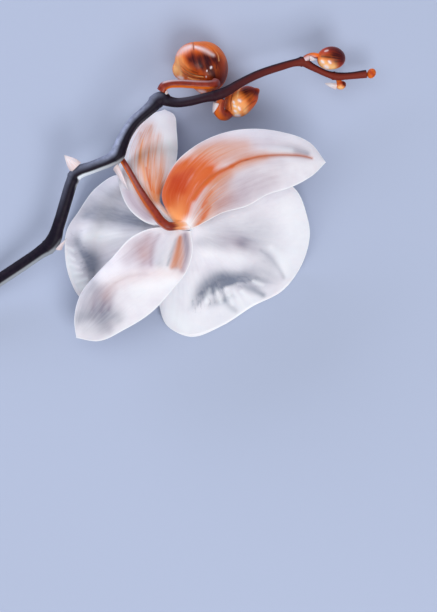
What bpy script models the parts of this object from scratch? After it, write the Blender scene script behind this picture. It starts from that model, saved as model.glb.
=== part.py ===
"""A cut spray of a large white moth orchid: one open flower, its spike, bracts and buds.

The spray lies on a table with the flower face down, so that the back of the flower looks up.
+Z is up and the table is z = 0.  All the lists of points are in millimetres, measured from the
flower's heart (the spot where the sepals and petals meet), straight down on the table.
"""

import math

import bpy
import bmesh
import numpy as np
from mathutils import Vector

MM = 0.001

# Driving dimensions, in millimetres.
SEPAL_THICKNESS = 1.2
PETAL_THICKNESS = 1.0
LIP_THICKNESS = 1.0
BRACT_THICKNESS = 0.7
SPLIT = 0.3                  # the gap left between pieces that touch
TUBE_SIDES = 12
SHEET_ROWS = 12              # steps from the base of a sepal or petal to its tip
SEPAL_COLUMNS = 10           # steps across a sepal
PETAL_RAYS = 24              # rays from a petal's claw to its rim
LIP_ROWS = 5                 # steps from the lip's hinge to its rim
LIP_RAYS = 34                # rays from the lip's hinge to its rim
SPIKE_STATIONS = 88          # rings along the spike

# Where the spike runs, from its cut end to its tip: x, y, z and its radius there.
# Each node of the spike is a swelling, and the spike turns at every node.
SPIKE = [
    (-85.3, -31.9, 2.0, 2.25), (-74.0, -24.4, 4.5, 2.2), (-63.5, -17.4, 7.0, 2.15),
    (-56.5, -12.9, 9.0, 2.15), (-49.5, -8.2, 11.2, 2.2), (-46.0, -5.7, 12.6, 2.6),
    (-44.3, -3.0, 13.4, 2.5), (-43.4, -0.2, 14.0, 2.15), (-42.4, 2.8, 14.5, 2.1),
    (-40.3, 9.6, 15.8, 2.1), (-38.3, 15.6, 17.0, 2.15), (-36.9, 18.3, 17.6, 2.3),
    (-35.2, 19.3, 18.1, 2.25), (-32.1, 20.3, 18.8, 2.1), (-28.6, 21.6, 19.3, 2.1),
    (-25.6, 22.8, 19.8, 2.2), (-22.8, 24.6, 20.2, 2.5), (-21.7, 27.4, 20.4, 2.4),
    (-20.1, 31.0, 20.6, 2.15), (-17.0, 35.7, 20.8, 2.1), (-13.6, 38.8, 20.9, 2.1),
    (-10.8, 41.3, 21.0, 2.3), (-9.0, 43.2, 21.0, 2.6), (-7.2, 43.7, 21.0, 2.5),
    (-5.3, 42.9, 21.0, 1.85), (-2.8, 42.4, 21.0, 1.65), (0.9, 42.7, 21.0, 1.6),
    (7.0, 44.1, 20.8, 1.6), (11.1, 45.0, 20.5, 1.85), (14.1, 46.2, 20.2, 1.7),
    (18.9, 49.1, 19.4, 1.45), (25.0, 52.2, 18.0, 1.4), (32.5, 54.9, 16.2, 1.35),
    (38.0, 56.5, 14.6, 1.35), (40.8, 56.8, 13.8, 1.7), (42.8, 55.6, 13.2, 1.35),
    (45.4, 54.3, 12.5, 1.15), (48.7, 52.9, 11.8, 1.15), (52.1, 52.1, 11.2, 1.4),
    (55.2, 52.2, 10.8, 1.15), (61.2, 52.7, 9.9, 1.1),
]

# The stalk of the open flower. Its end is the receptacle that carries all the flower's parts.
FLOWER_PEDICEL = [
    (-20.5, 22.1, 19.3, 0.95), (-18.2, 18.5, 22.5, 1.0), (-15.2, 13.6, 26.5, 1.15),
    (-12.1, 8.4, 29.8, 1.35), (-9.7, 4.8, 31.6, 1.45), (-7.3, 1.6, 32.6, 1.55),
    (-5.2, 0.0, 32.6, 1.65), (-3.0, -0.1, 31.6, 1.7), (-1.4, -0.1, 30.2, 1.85),
    (-0.9, 0.0, 29.0, 1.9),
]

# The sepals. Each is given by its left margin, its midrib and its right margin, from the base
# to the tip, as seen from the back of the flower.
LATERAL_SEPAL_RIGHT = {
    "left": [(-2.1, 3.0, 29.6), (-7.6, 8.7, 27.2), (-5.6, 17.0, 26.2), (3.0, 27.4, 25.6),
             (16.1, 32.5, 25.0), (31.4, 32.5, 23.6), (42.9, 28.4, 21.4), (47.9, 22.2, 20.0)],
    "midrib": [(1.0, 1.6, 29.9), (3.0, 8.0, 31.4), (6.1, 13.0, 32.0), (12.8, 19.4, 31.8),
               (22.2, 23.5, 30.4), (32.6, 24.6, 27.6), (42.2, 23.8, 23.6), (47.9, 22.2, 20.0)],
    "right": [(2.3, -0.8, 29.2), (6.5, 1.4, 29.4), (12.8, 4.7, 28.8), (21.2, 7.1, 28.0),
              (27.9, 10.9, 26.8), (36.1, 13.6, 25.0), (43.9, 18.1, 22.4), (47.9, 22.2, 20.0)],
}
LATERAL_SEPAL_LEFT = {
    "left": [(-3.4, 0.7, 27.9), (-11.5, 1.1, 25.2), (-18.0, 5.6, 21.8), (-21.7, 13.9, 17.4),
             (-21.4, 24.3, 11.4), (-16.4, 32.8, 6.6), (-11.4, 38.5, 2.8), (-7.3, 41.2, -0.4)],
    "midrib": [(-3.0, 1.5, 28.0), (-8.1, 5.1, 27.4), (-12.6, 12.1, 24.6), (-13.7, 20.4, 20.2),
               (-13.1, 28.0, 15.0), (-10.9, 35.4, 8.2), (-8.6, 39.5, 3.2), (-7.3, 41.2, -0.4)],
    "right": [(-2.4, 2.2, 27.7), (-6.1, 5.9, 25.2), (-8.4, 9.8, 23.6), (-6.2, 15.8, 21.2),
              (-2.6, 24.2, 15.8), (-3.0, 33.5, 8.8), (-4.6, 39.5, 3.2), (-7.3, 41.2, -0.4)],
}
DORSAL_SEPAL = {
    "left": [(-4.1, -1.3, 28.5), (-11.5, -0.5, 27.2), (-18.1, -3.6, 25.5), (-24.2, -10.1, 23.6),
             (-29.9, -15.9, 21.0), (-35.3, -22.6, 17.8), (-37.6, -31.6, 14.2),
             (-37.0, -37.4, 11.6)],
    "midrib": [(-1.0, -2.4, 29.0), (-4.7, -7.4, 28.5), (-10.0, -12.9, 26.4),
               (-17.6, -16.9, 25.5), (-24.4, -20.9, 23.0), (-30.0, -27.5, 18.8),
               (-34.6, -34.0, 14.4), (-37.0, -37.4, 11.6)],
    "right": [(1.9, -2.3, 28.5), (2.9, -7.5, 28.2), (1.0, -14.4, 26.5), (-4.1, -21.1, 24.0),
              (-11.1, -28.6, 20.8), (-20.2, -34.4, 17.0), (-29.9, -38.5, 13.2),
              (-37.0, -37.4, 11.6)],
}

# The broad petals. Each is a fan: its outline runs from one side of the narrow claw, round the
# rim, and back to the claw's other side. The rim dips to the table where the flower lies on it.
PETAL_LEFT = {
    "claw": [(-2.2, 1.5, 26.1), (-2.7, 0.1, 26.2), (-2.3, -1.3, 26.1)],
    "rim": [(-8.2, 6.6, 22.0), (-15.8, 14.0, 15.4), (-22.8, 18.3, 11.0), (-30.1, 14.3, 8.2),
            (-36.7, 5.9, 4.2), (-41.0, -0.9, 0.4), (-41.5, -8.5, -0.8), (-39.9, -16.8, -0.8),
            (-36.4, -23.4, -0.4), (-30.0, -26.5, 2.0), (-20.5, -21.0, 8.4),
            (-11.7, -12.2, 16.4), (-5.8, -5.2, 22.6)],
    "crown": 3.0,
}
PETAL_RIGHT = {
    "claw": [(-0.4, -2.4, 26.0), (1.6, -1.6, 26.2), (2.3, 0.6, 26.0)],
    "rim": [(-4.2, -9.6, 20.4), (-8.1, -17.6, 12.2), (-8.6, -26.9, 4.2), (-6.1, -33.3, 0.4),
            (1.7, -37.1, -0.8), (12.8, -33.3, -0.8), (23.2, -26.7, -0.8), (34.1, -20.8, -0.6),
            (39.3, -14.1, 0.4), (42.1, -7.2, 3.8), (42.9, -1.1, 7.8), (41.9, 3.9, 11.8),
            (36.9, 13.9, 18.0), (29.0, 16.8, 21.2), (18.9, 13.0, 23.4), (9.7, 6.9, 24.8)],
    "crown": 3.4,
}

# The flower's face looks down and a little to the right; the lip hangs towards the gap
# between the two lateral sepals.
FACE = Vector((0.25, 0.10, -0.96)).normalized()
LIP_SIDE = Vector((0.50, 0.85, 0.22)).normalized()
COLUMN_TOP = Vector((-0.8, 0.0, 28.4))
COLUMN_LENGTH = 10.5
COLUMN_BEND = 1.2            # how far the column's tip leans towards the lip
COLUMN_RADII = [1.7, 1.8, 1.9, 2.1, 2.5, 2.7, 2.3]
ANTHER_CAP_RADIUS = 2.1
LIP_HINGE = Vector((1.8, 3.7, 23.4))
# The lip's outline: forward towards its tip, to the side, and how far it stands from its floor.
LIP_RIM = [
    (1.0, -3.6, 0.4), (2.8, -7.0, 3.2), (6.6, -7.2, 5.4), (8.2, -4.6, 2.6), (8.8, -2.6, 0.0),
    (11.0, -4.4, -0.8), (14.0, -5.2, -1.2), (16.8, -2.8, -0.6), (18.2, 0.0, 0.2),
    (16.8, 2.8, -0.6), (14.0, 5.2, -1.2), (11.0, 4.4, -0.8), (8.8, 2.6, 0.0),
    (8.2, 4.6, 2.6), (6.6, 7.2, 5.4), (2.8, 7.0, 3.2), (1.0, 3.6, 0.4),
]

# The buds. Each lobe has its centre's offset from the bud's centre, its half-lengths and its
# turn about the vertical in degrees.
BUD_LARGE = {
    "centre": (5.2, 55.4, 9.1),
    "lobes": [((-1.2, 2.1, 0.8), (7.5, 6.7, 7.9), 0.0),
              ((2.0, 0.0, -0.6), (7.8, 9.1, 8.5), 10.0),
              ((-4.5, -0.6, -1.0), (5.1, 4.4, 5.0), 0.0),
              ((2.3, -4.3, -1.0), (4.8, 5.2, 5.4), 0.0)],
}
BUD_SECOND = {
    "centre": (19.9, 43.7, 14.0),
    "lobes": [((0.0, 0.0, 0.0), (6.6, 4.4, 4.7), 36.0),
              ((-1.6, -1.0, 0.4), (5.1, 4.8, 4.7), 36.0)],
}
BUD_THIRD = {
    "centre": (50.1, 58.1, 14.0),
    "lobes": [((0.3, 0.1, 0.0), (4.6, 3.9, 3.9), -8.0),
              ((-1.2, -0.3, 0.2), (3.8, 3.6, 3.7), -8.0)],
}
BUD_TINY = {
    "centre": (53.6, 49.2, 9.3),
    "lobes": [((0.0, 0.0, 0.0), (1.8, 1.5, 1.5), 20.0)],
}
SPIKE_TIP_BUD = {
    "centre": (64.0, 53.2, 9.6),
    "lobes": [((0.0, 0.0, 0.0), (1.8, 1.5, 1.5), 60.0)],
}
BUD_LARGE_PEDICEL = [
    (-7.7, 47.0, 22.2, 1.6), (-7.0, 47.7, 22.4, 1.5), (-5.5, 48.4, 22.2, 1.35),
    (-2.1, 48.8, 21.4, 1.35), (1.9, 48.7, 20.4, 1.35), (6.3, 48.5, 20.0, 1.4),
    (9.2, 48.4, 19.6, 1.4), (11.2, 48.3, 18.4, 1.4), (12.1, 48.8, 16.8, 1.4),
    (12.0, 49.7, 15.4, 1.4),
]
BUD_SECOND_PEDICEL = [
    (12.1, 42.6, 19.2, 1.35), (11.2, 40.9, 18.9, 1.45), (11.4, 38.9, 17.9, 1.45),
    (12.5, 37.8, 16.6, 1.4), (13.6, 37.9, 15.8, 1.3),
]
BUD_THIRD_PEDICEL = [
    (42.3, 58.7, 15.4, 0.85), (43.3, 59.0, 15.5, 0.85), (44.4, 58.8, 15.2, 0.85),
]

# The bracts: scales that wrap a node. Each is given by the point on the axis that it wraps,
# the way it points, the way it faces, the radius it wraps, its length, its half-angle in
# degrees and how far its tip stands away.
BRACTS = {
    "bract_low": ((-45.2, -6.2, 12.8), (0.30, 0.92, 0.24), (0.95, -0.30, 0.10),
                  3.2, 4.4, 55, 0.6),
    "bract_bend": ((-36.9, 21.1, 17.6), (-0.50, 0.86, 0.08), (-0.10, 0.10, 0.98),
                   2.3, 6.0, 68, -0.3),
    "bract_flower": ((-21.9, 21.1, 18.4), (0.56, -0.80, 0.33), (-0.75, -0.45, 0.45),
                     2.4, 9.4, 55, 0.3),
    "bract_bud_large": ((-7.9, 45.9, 22.3), (0.15, 0.98, 0.10), (0.72, -0.20, 0.66),
                        2.6, 2.2, 45, 0.2),
    "bract_bud_second": ((11.4, 41.4, 19.1), (-0.10, -0.97, -0.20), (-0.90, 0.20, 0.30),
                         2.15, 2.4, 50, 0.2),
    "bract_bud_third": ((42.7, 58.8, 15.4), (0.97, 0.00, 0.00), (0.00, -0.85, 0.50),
                        1.6, 2.0, 50, 0.1),
    "bract_bud_tiny": ((51.3, 49.2, 8.7), (-0.95, 0.30, 0.00), (-0.10, -0.30, 0.92),
                       1.2, 4.2, 60, 0.2),
}


def clear_scene():
    """Remove everything that the file holds, so that only this model is left."""
    for old in list(bpy.data.objects):
        bpy.data.objects.remove(old, do_unlink=True)


def surface(name, colour, roughness):
    """A plain finish for one kind of tissue."""
    material = bpy.data.materials.new(name)
    material.use_nodes = True
    shader = material.node_tree.nodes["Principled BSDF"]
    shader.inputs["Base Color"].default_value = (*colour, 1.0)
    shader.inputs["Roughness"].default_value = roughness
    shader.inputs["Metallic"].default_value = 0.0
    material.diffuse_color = (*colour, 1.0)
    return material


def curve_through(points):
    """A smooth curve through the points, as a function of 0 to 1 along their chords."""
    knots = np.array(points, dtype=float)
    steps = np.linalg.norm(np.diff(knots[:, :3], axis=0), axis=1)
    places = np.concatenate(([0.0], np.cumsum(steps)))
    places /= places[-1]
    slopes = np.gradient(knots, places, axis=0)

    def at(t):
        k = int(np.clip(np.searchsorted(places, t) - 1, 0, len(places) - 2))
        span = places[k + 1] - places[k]
        s = (t - places[k]) / span
        start = (1 + 2 * s) * (1 - s) ** 2 * knots[k] + s * (1 - s) ** 2 * span * slopes[k]
        end = s * s * (3 - 2 * s) * knots[k + 1] + s * s * (s - 1) * span * slopes[k + 1]
        return start + end

    return at


def add_object(name, bm, material):
    """Turn a closed bmesh, drawn in millimetres, into a smooth-shaded object in metres."""
    bmesh.ops.scale(bm, vec=(MM, MM, MM), verts=bm.verts)
    bmesh.ops.recalc_face_normals(bm, faces=bm.faces)
    if bm.calc_volume(signed=True) < 0.0:
        bmesh.ops.reverse_faces(bm, faces=bm.faces)
    mesh = bpy.data.meshes.new(name)
    bm.to_mesh(mesh)
    bm.free()
    mesh.shade_smooth()
    mesh.materials.append(material)
    piece = bpy.data.objects.new(name, mesh)
    bpy.context.scene.collection.objects.link(piece)
    return piece


def sheet(name, rows, thickness, material):
    """A leaf-like sheet of even thickness, from rows of points across its middle surface.

    The last row may shrink to a single point. Where the sheet would sink below the table it
    lies flat on it.
    """
    bm = bmesh.new()
    grid = [[bm.verts.new(point) for point in row] for row in rows]
    for below, above in zip(grid, grid[1:]):
        for k in range(len(below) - 1):
            bm.faces.new((below[k], below[k + 1], above[k + 1], above[k]))
    bmesh.ops.remove_doubles(bm, verts=bm.verts, dist=0.001)
    bmesh.ops.dissolve_degenerate(bm, edges=bm.edges, dist=0.0005)
    bm.normal_update()
    if sum(face.normal.z * face.calc_area() for face in bm.faces) < 0.0:
        bmesh.ops.reverse_faces(bm, faces=bm.faces)
        bm.normal_update()
    rim = [edge for edge in bm.edges if edge.is_boundary]
    middle = list(bm.verts)
    upper = {}
    for vert in middle:
        upper[vert] = bm.verts.new(vert.co + vert.normal * thickness / 2)
        upper[vert].co.z = max(upper[vert].co.z, thickness)
    for face in list(bm.faces):
        bm.faces.new([upper[vert] for vert in reversed(face.verts)])
    for edge in rim:
        a, b = edge.verts
        bm.faces.new((a, b, upper[b], upper[a]))
    for vert in middle:
        vert.co = vert.co - vert.normal * thickness / 2
        vert.co.z = max(vert.co.z, 0.0)
    return add_object(name, bm, material)


def sepal(name, margins, material):
    """A sepal: rows across from the left margin over the midrib to the right margin."""
    left = curve_through(margins["left"])
    middle = curve_through(margins["midrib"])
    right = curve_through(margins["right"])
    rows = []
    for i in range(SHEET_ROWS + 1):
        t = math.sin(0.5 * math.pi * i / SHEET_ROWS)
        a, m, b = left(t), middle(t), right(t)
        row = []
        for j in range(SEPAL_COLUMNS + 1):
            v = 2.0 * j / SEPAL_COLUMNS - 1.0
            row.append(Vector(m + v * (b - a) / 2 + v * v * ((a + b) / 2 - m)))
        rows.append(row)
    return sheet(name, rows, SEPAL_THICKNESS, material)


def fan(name, claw_points, rim_points, crown, steps, thickness, material):
    """A petal: rays from its claw out to its rim, crowned between the two."""
    ring_count, rays = steps
    claw = curve_through(claw_points)
    rim = curve_through([claw_points[0], *rim_points, claw_points[-1]])
    first, last = 0.04, 0.96
    rows = []
    for i in range(ring_count + 1):
        r = i / ring_count
        row = []
        for j in range(rays + 1):
            t = first + (last - first) * j / rays
            start = claw(j / rays)
            point = start + r * (rim(t) - start)
            point[2] += crown * 4 * r * (1 - r) * math.sin(math.pi * j / rays)
            row.append(Vector(point))
        rows.append(row)
    return sheet(name, rows, thickness, material)


def tube(name, route, material, stations, round_start=True, round_end=True):
    """A stalk along its route, whose fourth value is the radius, with flat or rounded ends."""
    path = curve_through(route)
    samples = [path(i / stations) for i in range(stations + 1)]
    centres = [Vector(sample[:3]) for sample in samples]
    radii = [float(sample[3]) for sample in samples]
    tangents = []
    for i in range(len(centres)):
        ahead = centres[min(i + 1, stations)]
        behind = centres[max(i - 1, 0)]
        tangents.append((ahead - behind).normalized())
    ends = [(0.95, 0.3), (0.65, 0.76)]
    if round_start:
        first, way, size = centres[0], tangents[0], radii[0]
        for width, out in ends:
            centres.insert(0, first - way * size * out)
            radii.insert(0, size * width)
            tangents.insert(0, way)
    if round_end:
        last, way, size = centres[-1], tangents[-1], radii[-1]
        for width, out in ends:
            centres.append(last + way * size * out)
            radii.append(size * width)
            tangents.append(way)
    bm = bmesh.new()
    side = tangents[0].orthogonal().normalized()
    rings = []
    for centre, radius, tangent in zip(centres, radii, tangents):
        side = (side - tangent * side.dot(tangent)).normalized()
        across = tangent.cross(side)
        ring = []
        for k in range(TUBE_SIDES):
            turn = 2 * math.pi * k / TUBE_SIDES
            point = centre + radius * (math.cos(turn) * side + math.sin(turn) * across)
            point.z = max(point.z, 0.0)
            ring.append(bm.verts.new(point))
        rings.append(ring)
    for below, above in zip(rings, rings[1:]):
        for k in range(TUBE_SIDES):
            n = (k + 1) % TUBE_SIDES
            bm.faces.new((below[k], below[n], above[n], above[k]))
    bm.faces.new(list(reversed(rings[0])))
    bm.faces.new(rings[-1])
    return add_object(name, bm, material)


def reach(direction, offset, half_lengths, turn):
    """How far a ray from the bud's centre runs before it leaves one of its lobes."""
    c, s = math.cos(math.radians(turn)), math.sin(math.radians(turn))

    def in_lobe(v):
        return np.array(((v[0] * c + v[1] * s) / half_lengths[0],
                         (v[1] * c - v[0] * s) / half_lengths[1],
                         v[2] / half_lengths[2]))

    d, o = in_lobe(direction), in_lobe(offset)
    a, b, k = d @ d, d @ o, o @ o - 1.0
    root = b * b - a * k
    return (b + math.sqrt(root)) / a if root > 0.0 else 0.0


def bud(name, shape, material, subdivisions=3):
    """A bud as one closed body: its outer skin follows whichever lobe stands furthest out."""
    bm = bmesh.new()
    bmesh.ops.create_icosphere(bm, subdivisions=subdivisions, radius=1.0)
    centre = Vector(shape["centre"])
    for vert in bm.verts:
        way = vert.co.normalized()
        far = max(reach(way, *lobe) for lobe in shape["lobes"])
        vert.co = centre + way * far
    return add_object(name, bm, material)


def bract(name, material):
    """A bract: a scale whose rows wrap the node and narrow to a pointed, flaring tip."""
    base, way, facing, radius, length, half_angle, flare = BRACTS[name]
    way = Vector(way).normalized()
    facing = Vector(facing)
    facing = (facing - way * facing.dot(way)).normalized()
    side = way.cross(facing)
    steps, columns = 6, 8
    rows = []
    for i in range(steps + 1):
        t = i / steps
        spread = math.radians(half_angle) * math.sqrt(1 - t * t)
        away = radius + flare * t * t
        row = []
        for j in range(columns + 1):
            angle = spread * (2 * j / columns - 1)
            out = facing * math.cos(angle) + side * math.sin(angle)
            row.append(Vector(base) + way * length * t + out * away)
        rows.append(row)
    return sheet(name, rows, BRACT_THICKNESS, material)


def column(material):
    """The column, which joins stamen and stigma, thickest just above its tip."""
    count = len(COLUMN_RADII) - 1
    route = []
    for i, radius in enumerate(COLUMN_RADII):
        t = i / count
        bend = LIP_SIDE * COLUMN_BEND * t * t
        route.append((*(COLUMN_TOP + FACE * COLUMN_LENGTH * t + bend), radius))
    return tube("column", route, material, 12, round_start=False, round_end=False)


def anther_cap(material):
    """The cap over the pollen at the column's tip: a dome that sits on the column's end."""
    way = (FACE * COLUMN_LENGTH + LIP_SIDE * 2 * COLUMN_BEND).normalized()
    start = COLUMN_TOP + FACE * COLUMN_LENGTH + LIP_SIDE * COLUMN_BEND + way * SPLIT
    route = []
    for t, width in ((0.0, 1.0), (0.4, 0.98), (0.8, 0.8), (1.1, 0.5)):
        place = start + way * ANTHER_CAP_RADIUS * t
        route.append((*place, ANTHER_CAP_RADIUS * width))
    return tube("anther_cap", route, material, 5, round_start=False)


def lip(material):
    """The lip: two lobes that stand up beside the column and a tongue between them."""
    forward = (FACE * 0.6 + LIP_SIDE * 0.8).normalized()
    sideways = FACE.cross(LIP_SIDE).normalized()
    floor = forward.cross(sideways)
    if floor.dot(FACE) < 0.0:
        floor = -floor

    def place(u, w, n):
        return tuple(LIP_HINGE + forward * u + sideways * w + floor * n)

    claw = [place(0.0, w, 0.0) for w in (-1.4, 0.0, 1.4)]
    rim = [place(*point) for point in LIP_RIM]
    return fan("lip", claw, rim, 0.0, (LIP_ROWS, LIP_RAYS), LIP_THICKNESS, material)


def stand_on_origin(pieces):
    """Move the whole spray so that the middle of its box stands above the origin."""
    corners = np.array([piece.matrix_world @ v.co for piece in pieces for v in piece.data.vertices])
    low, high = corners.min(axis=0), corners.max(axis=0)
    shift = Vector((-(low[0] + high[0]) / 2, -(low[1] + high[1]) / 2, -low[2]))
    for piece in pieces:
        piece.location = piece.location + shift


def main():
    clear_scene()
    white = surface("white_tepal", (0.86, 0.84, 0.88), 0.55)
    spike_skin = surface("dark_spike", (0.045, 0.025, 0.04), 0.4)
    stalk_skin = surface("red_stalk", (0.30, 0.06, 0.03), 0.4)
    bud_skin = surface("amber_bud", (0.62, 0.20, 0.05), 0.3)
    papery = surface("pale_bract", (0.78, 0.66, 0.66), 0.6)
    lip_skin = surface("lip_flesh", (0.85, 0.70, 0.45), 0.5)

    pieces = [
        tube("spike_stem", SPIKE, spike_skin, SPIKE_STATIONS, round_start=False),
        tube("flower_pedicel", FLOWER_PEDICEL, stalk_skin, 20, round_end=False),
        sepal("dorsal_sepal", DORSAL_SEPAL, white),
        sepal("lateral_sepal_left", LATERAL_SEPAL_LEFT, white),
        sepal("lateral_sepal_right", LATERAL_SEPAL_RIGHT, white),
        column(white),
        anther_cap(white),
        lip(lip_skin),
        bud("bud_large", BUD_LARGE, bud_skin),
        tube("bud_large_pedicel", BUD_LARGE_PEDICEL, stalk_skin, 16, round_start=False),
        bud("bud_second", BUD_SECOND, bud_skin),
        tube("bud_second_pedicel", BUD_SECOND_PEDICEL, stalk_skin, 8, round_start=False),
        bud("bud_third", BUD_THIRD, bud_skin, 2),
        tube("bud_third_pedicel", BUD_THIRD_PEDICEL, stalk_skin, 4, round_start=False),
        bud("bud_tiny", BUD_TINY, bud_skin, 2),
        bud("spike_tip_bud", SPIKE_TIP_BUD, bud_skin, 2),
    ]
    for name, petal in (("petal_left", PETAL_LEFT), ("petal_right", PETAL_RIGHT)):
        pieces.append(fan(name, petal["claw"], petal["rim"], petal["crown"],
                          (SHEET_ROWS, PETAL_RAYS), PETAL_THICKNESS, white))
    for name in BRACTS:
        pieces.append(bract(name, papery))
    stand_on_origin(pieces)


main()
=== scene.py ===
# %% [markdown]
# # A cut spray of a white moth orchid
# The object is one open orchid flower on its dark, zigzag flowering stem, with bracts and unopened
# buds. It lies on a table with the flower face down, so we look at the back of its sepals and
# petals. The measured solids come first: they give every place and size. This file then grows the
# fine surfaces over them.

# %% Load the measured solids
import math

import bpy
import numpy as np
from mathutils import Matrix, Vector


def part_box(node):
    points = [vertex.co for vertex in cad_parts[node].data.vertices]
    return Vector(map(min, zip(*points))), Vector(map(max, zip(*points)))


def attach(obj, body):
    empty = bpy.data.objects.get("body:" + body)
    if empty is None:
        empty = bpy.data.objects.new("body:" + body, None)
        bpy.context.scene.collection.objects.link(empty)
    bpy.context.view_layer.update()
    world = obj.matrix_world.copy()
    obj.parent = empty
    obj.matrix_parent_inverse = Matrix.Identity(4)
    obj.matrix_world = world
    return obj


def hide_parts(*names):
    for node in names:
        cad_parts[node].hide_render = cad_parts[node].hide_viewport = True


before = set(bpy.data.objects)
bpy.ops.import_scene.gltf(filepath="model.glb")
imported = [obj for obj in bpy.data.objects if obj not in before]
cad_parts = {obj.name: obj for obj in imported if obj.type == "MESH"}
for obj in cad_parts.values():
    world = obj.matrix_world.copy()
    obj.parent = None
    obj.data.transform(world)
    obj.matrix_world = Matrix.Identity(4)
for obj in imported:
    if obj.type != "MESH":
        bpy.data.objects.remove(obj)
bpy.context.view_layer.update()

MM = 0.001

# %% [markdown]
# ## The flower's heart
# All sepals and petals grow from one spot, the heart. Every list of points below is in
# millimetres from it: x to the right, y up the table, z up from the table's top. We could type
# the heart's place in metres, but it is safer to read it from the solids: the little bud at the
# stem's tip is symmetric, so its box tells where the heart is.

# %% Find the heart
TIP_BUD_FROM_HEART = Vector((64.0, 53.2, 9.6))
low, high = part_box("spike_tip_bud")
HEART = (low + high) / 2 - TIP_BUD_FROM_HEART * MM
HEART.z = 0.0


def to_world(points):
    """Points in millimetres from the heart, as an array of metres in the scene."""
    return np.asarray(points, dtype=float) * MM + np.array(HEART)


print("heart at", [round(v * 1000, 2) for v in HEART], "mm")

# %% [markdown]
# ## Camera
# The spray lies down, so the camera looks straight down on it from a metre above the table. A long
# lens at that distance keeps the flower's shape flat and calm, as in a plant portrait.

# %% Camera
CAMERA_HEIGHT = 1.0
VIEW_CENTRE = Vector((11.58, -26.53, 0.0))
FRAME_HEIGHT_AT_TABLE = 0.21184

camera_data = bpy.data.cameras.new("plant_portrait")
camera_data.sensor_fit = "VERTICAL"
camera_data.sensor_height = 36.0
camera_data.lens = 36.0 * CAMERA_HEIGHT / FRAME_HEIGHT_AT_TABLE
camera_data.clip_start = 0.01
camera = bpy.data.objects.new("plant_portrait", camera_data)
camera.location = HEART + VIEW_CENTRE * MM + Vector((0.0, 0.0, CAMERA_HEIGHT))
bpy.context.scene.collection.objects.link(camera)
bpy.context.scene.camera = camera
bpy.context.scene.view_settings.view_transform = "Standard"
print("lens", round(camera_data.lens, 1), "mm")

# %% [markdown]
# ## Colours and nodes
# Colours are easiest to pick as sRGB hex values, but shaders work in linear light, so one small
# function converts them. A second one adds a shader node with its settings and its links, which
# keeps the materials short enough to read. A third starts a material with the values that are the
# same all over it.

# %% Helpers for materials


def srgb(text):
    """A hex colour such as 'E8E4EC' as linear red, green, blue and alpha."""
    values = [int(text[i:i + 2], 16) / 255 for i in (0, 2, 4)]
    linear = [v / 12.92 if v <= 0.04045 else ((v + 0.055) / 1.055) ** 2.4 for v in values]
    return (*linear, 1.0)


def add_node(tree, kind, settings=None, links=None):
    """Add a shader node, set its values and inputs by name or number, and link its inputs.

    A link comes from a socket, or from a node's first output."""
    made = tree.nodes.new("ShaderNode" + kind)
    for name, value in (settings or {}).items():
        if isinstance(name, int) or name in made.inputs:
            made.inputs[name].default_value = value
        else:
            setattr(made, name, value)
    for name, source in (links or {}).items():
        tree.links.new(getattr(source, "outputs", [source])[0], made.inputs[name])
    return made


def new_material(name, settings):
    """A node material with these values all over it, its tree and its Principled shader."""
    material = bpy.data.materials.new(name)
    material.use_nodes = True
    shader = material.node_tree.nodes["Principled BSDF"]
    for key, value in settings.items():
        shader.inputs[key].default_value = value
    return material, material.node_tree, shader


print("white petal in linear light:", [round(v, 3) for v in srgb("F1EFF5")[:3]])

# %% [markdown]
# ## Floor
# The table top is laid with matt, uncoated paper, pressed from bleached fibres. It has a high
# roughness and next to no shine, so it shows soft shadows and no reflections. Its pale, cool
# colour makes the background, not extra light.

# %% Floor
FLOOR_HALF = 3.0
floor_material, tree, shader = new_material("pale_table_paper", {
    "Base Color": srgb("AEB8D0"), "Roughness": 0.9, "Specular IOR Level": 0.1})
floor_mesh = bpy.data.meshes.new("table_top")
corners = [(x * FLOOR_HALF, y * FLOOR_HALF, 0) for x, y in ((-1, -1), (1, -1), (1, 1), (-1, 1))]
floor_mesh.from_pydata(corners, [], [(0, 1, 2, 3)])
floor_mesh.materials.append(floor_material)
table_top = bpy.data.objects.new("table_top", floor_mesh)
table_top.location.z = -0.2 * MM
bpy.context.scene.collection.objects.link(table_top)
print("floor", 2 * FLOOR_HALF, "m wide")

# %% [markdown]
# ## Studio light
# Three soft boxes. The key stands at the lower right, halfway up, so every fold shows a bright and
# a shaded side. A low one at the far side lays a soft band of light along the stem and the buds;
# on the stem a painted highlight strengthens that band. The overhead one only fills the shadows: a
# mirror image of it would turn the dark stem grey, so shiny skins don't see it.

# %% Lights
# Each lamp: where it stands from the heart in metres, its width and height, power and colour.
LAMPS = {
    "key_box": ((0.26, -0.50, 0.84), (0.5, 0.5), 5.6, "FFFFFF"),
    "overhead_box": ((-0.20, 0.10, 1.10), (1.0, 1.0), 4.2, "FFFFFF"),
    "far_box": ((-0.46, 0.66, 0.26), (0.9, 0.3), 4.2, "EEF1FF"),
}
AIM = HEART + Vector((0.0, 0.01, 0.01))
for name, (place, size, power, colour) in LAMPS.items():
    lamp_data = bpy.data.lights.new(name, "AREA")
    lamp_data.shape = "RECTANGLE"
    lamp_data.size, lamp_data.size_y = size
    lamp_data.energy = power
    lamp_data.color = srgb(colour)[:3]
    lamp = bpy.data.objects.new(name, lamp_data)
    lamp.location = HEART + Vector(place)
    lamp.rotation_euler = (AIM - lamp.location).to_track_quat("-Z", "Y").to_euler()
    lamp.visible_glossy = name != "overhead_box"
    bpy.context.scene.collection.objects.link(lamp)

world = bpy.data.worlds.new("studio_air")
world.use_nodes = True
world.node_tree.nodes["Background"].inputs["Color"].default_value = srgb("EDF0F6")
world.node_tree.nodes["Background"].inputs["Strength"].default_value = 0.35
bpy.context.scene.world = world
print("lamps:", ", ".join(LAMPS))

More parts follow.
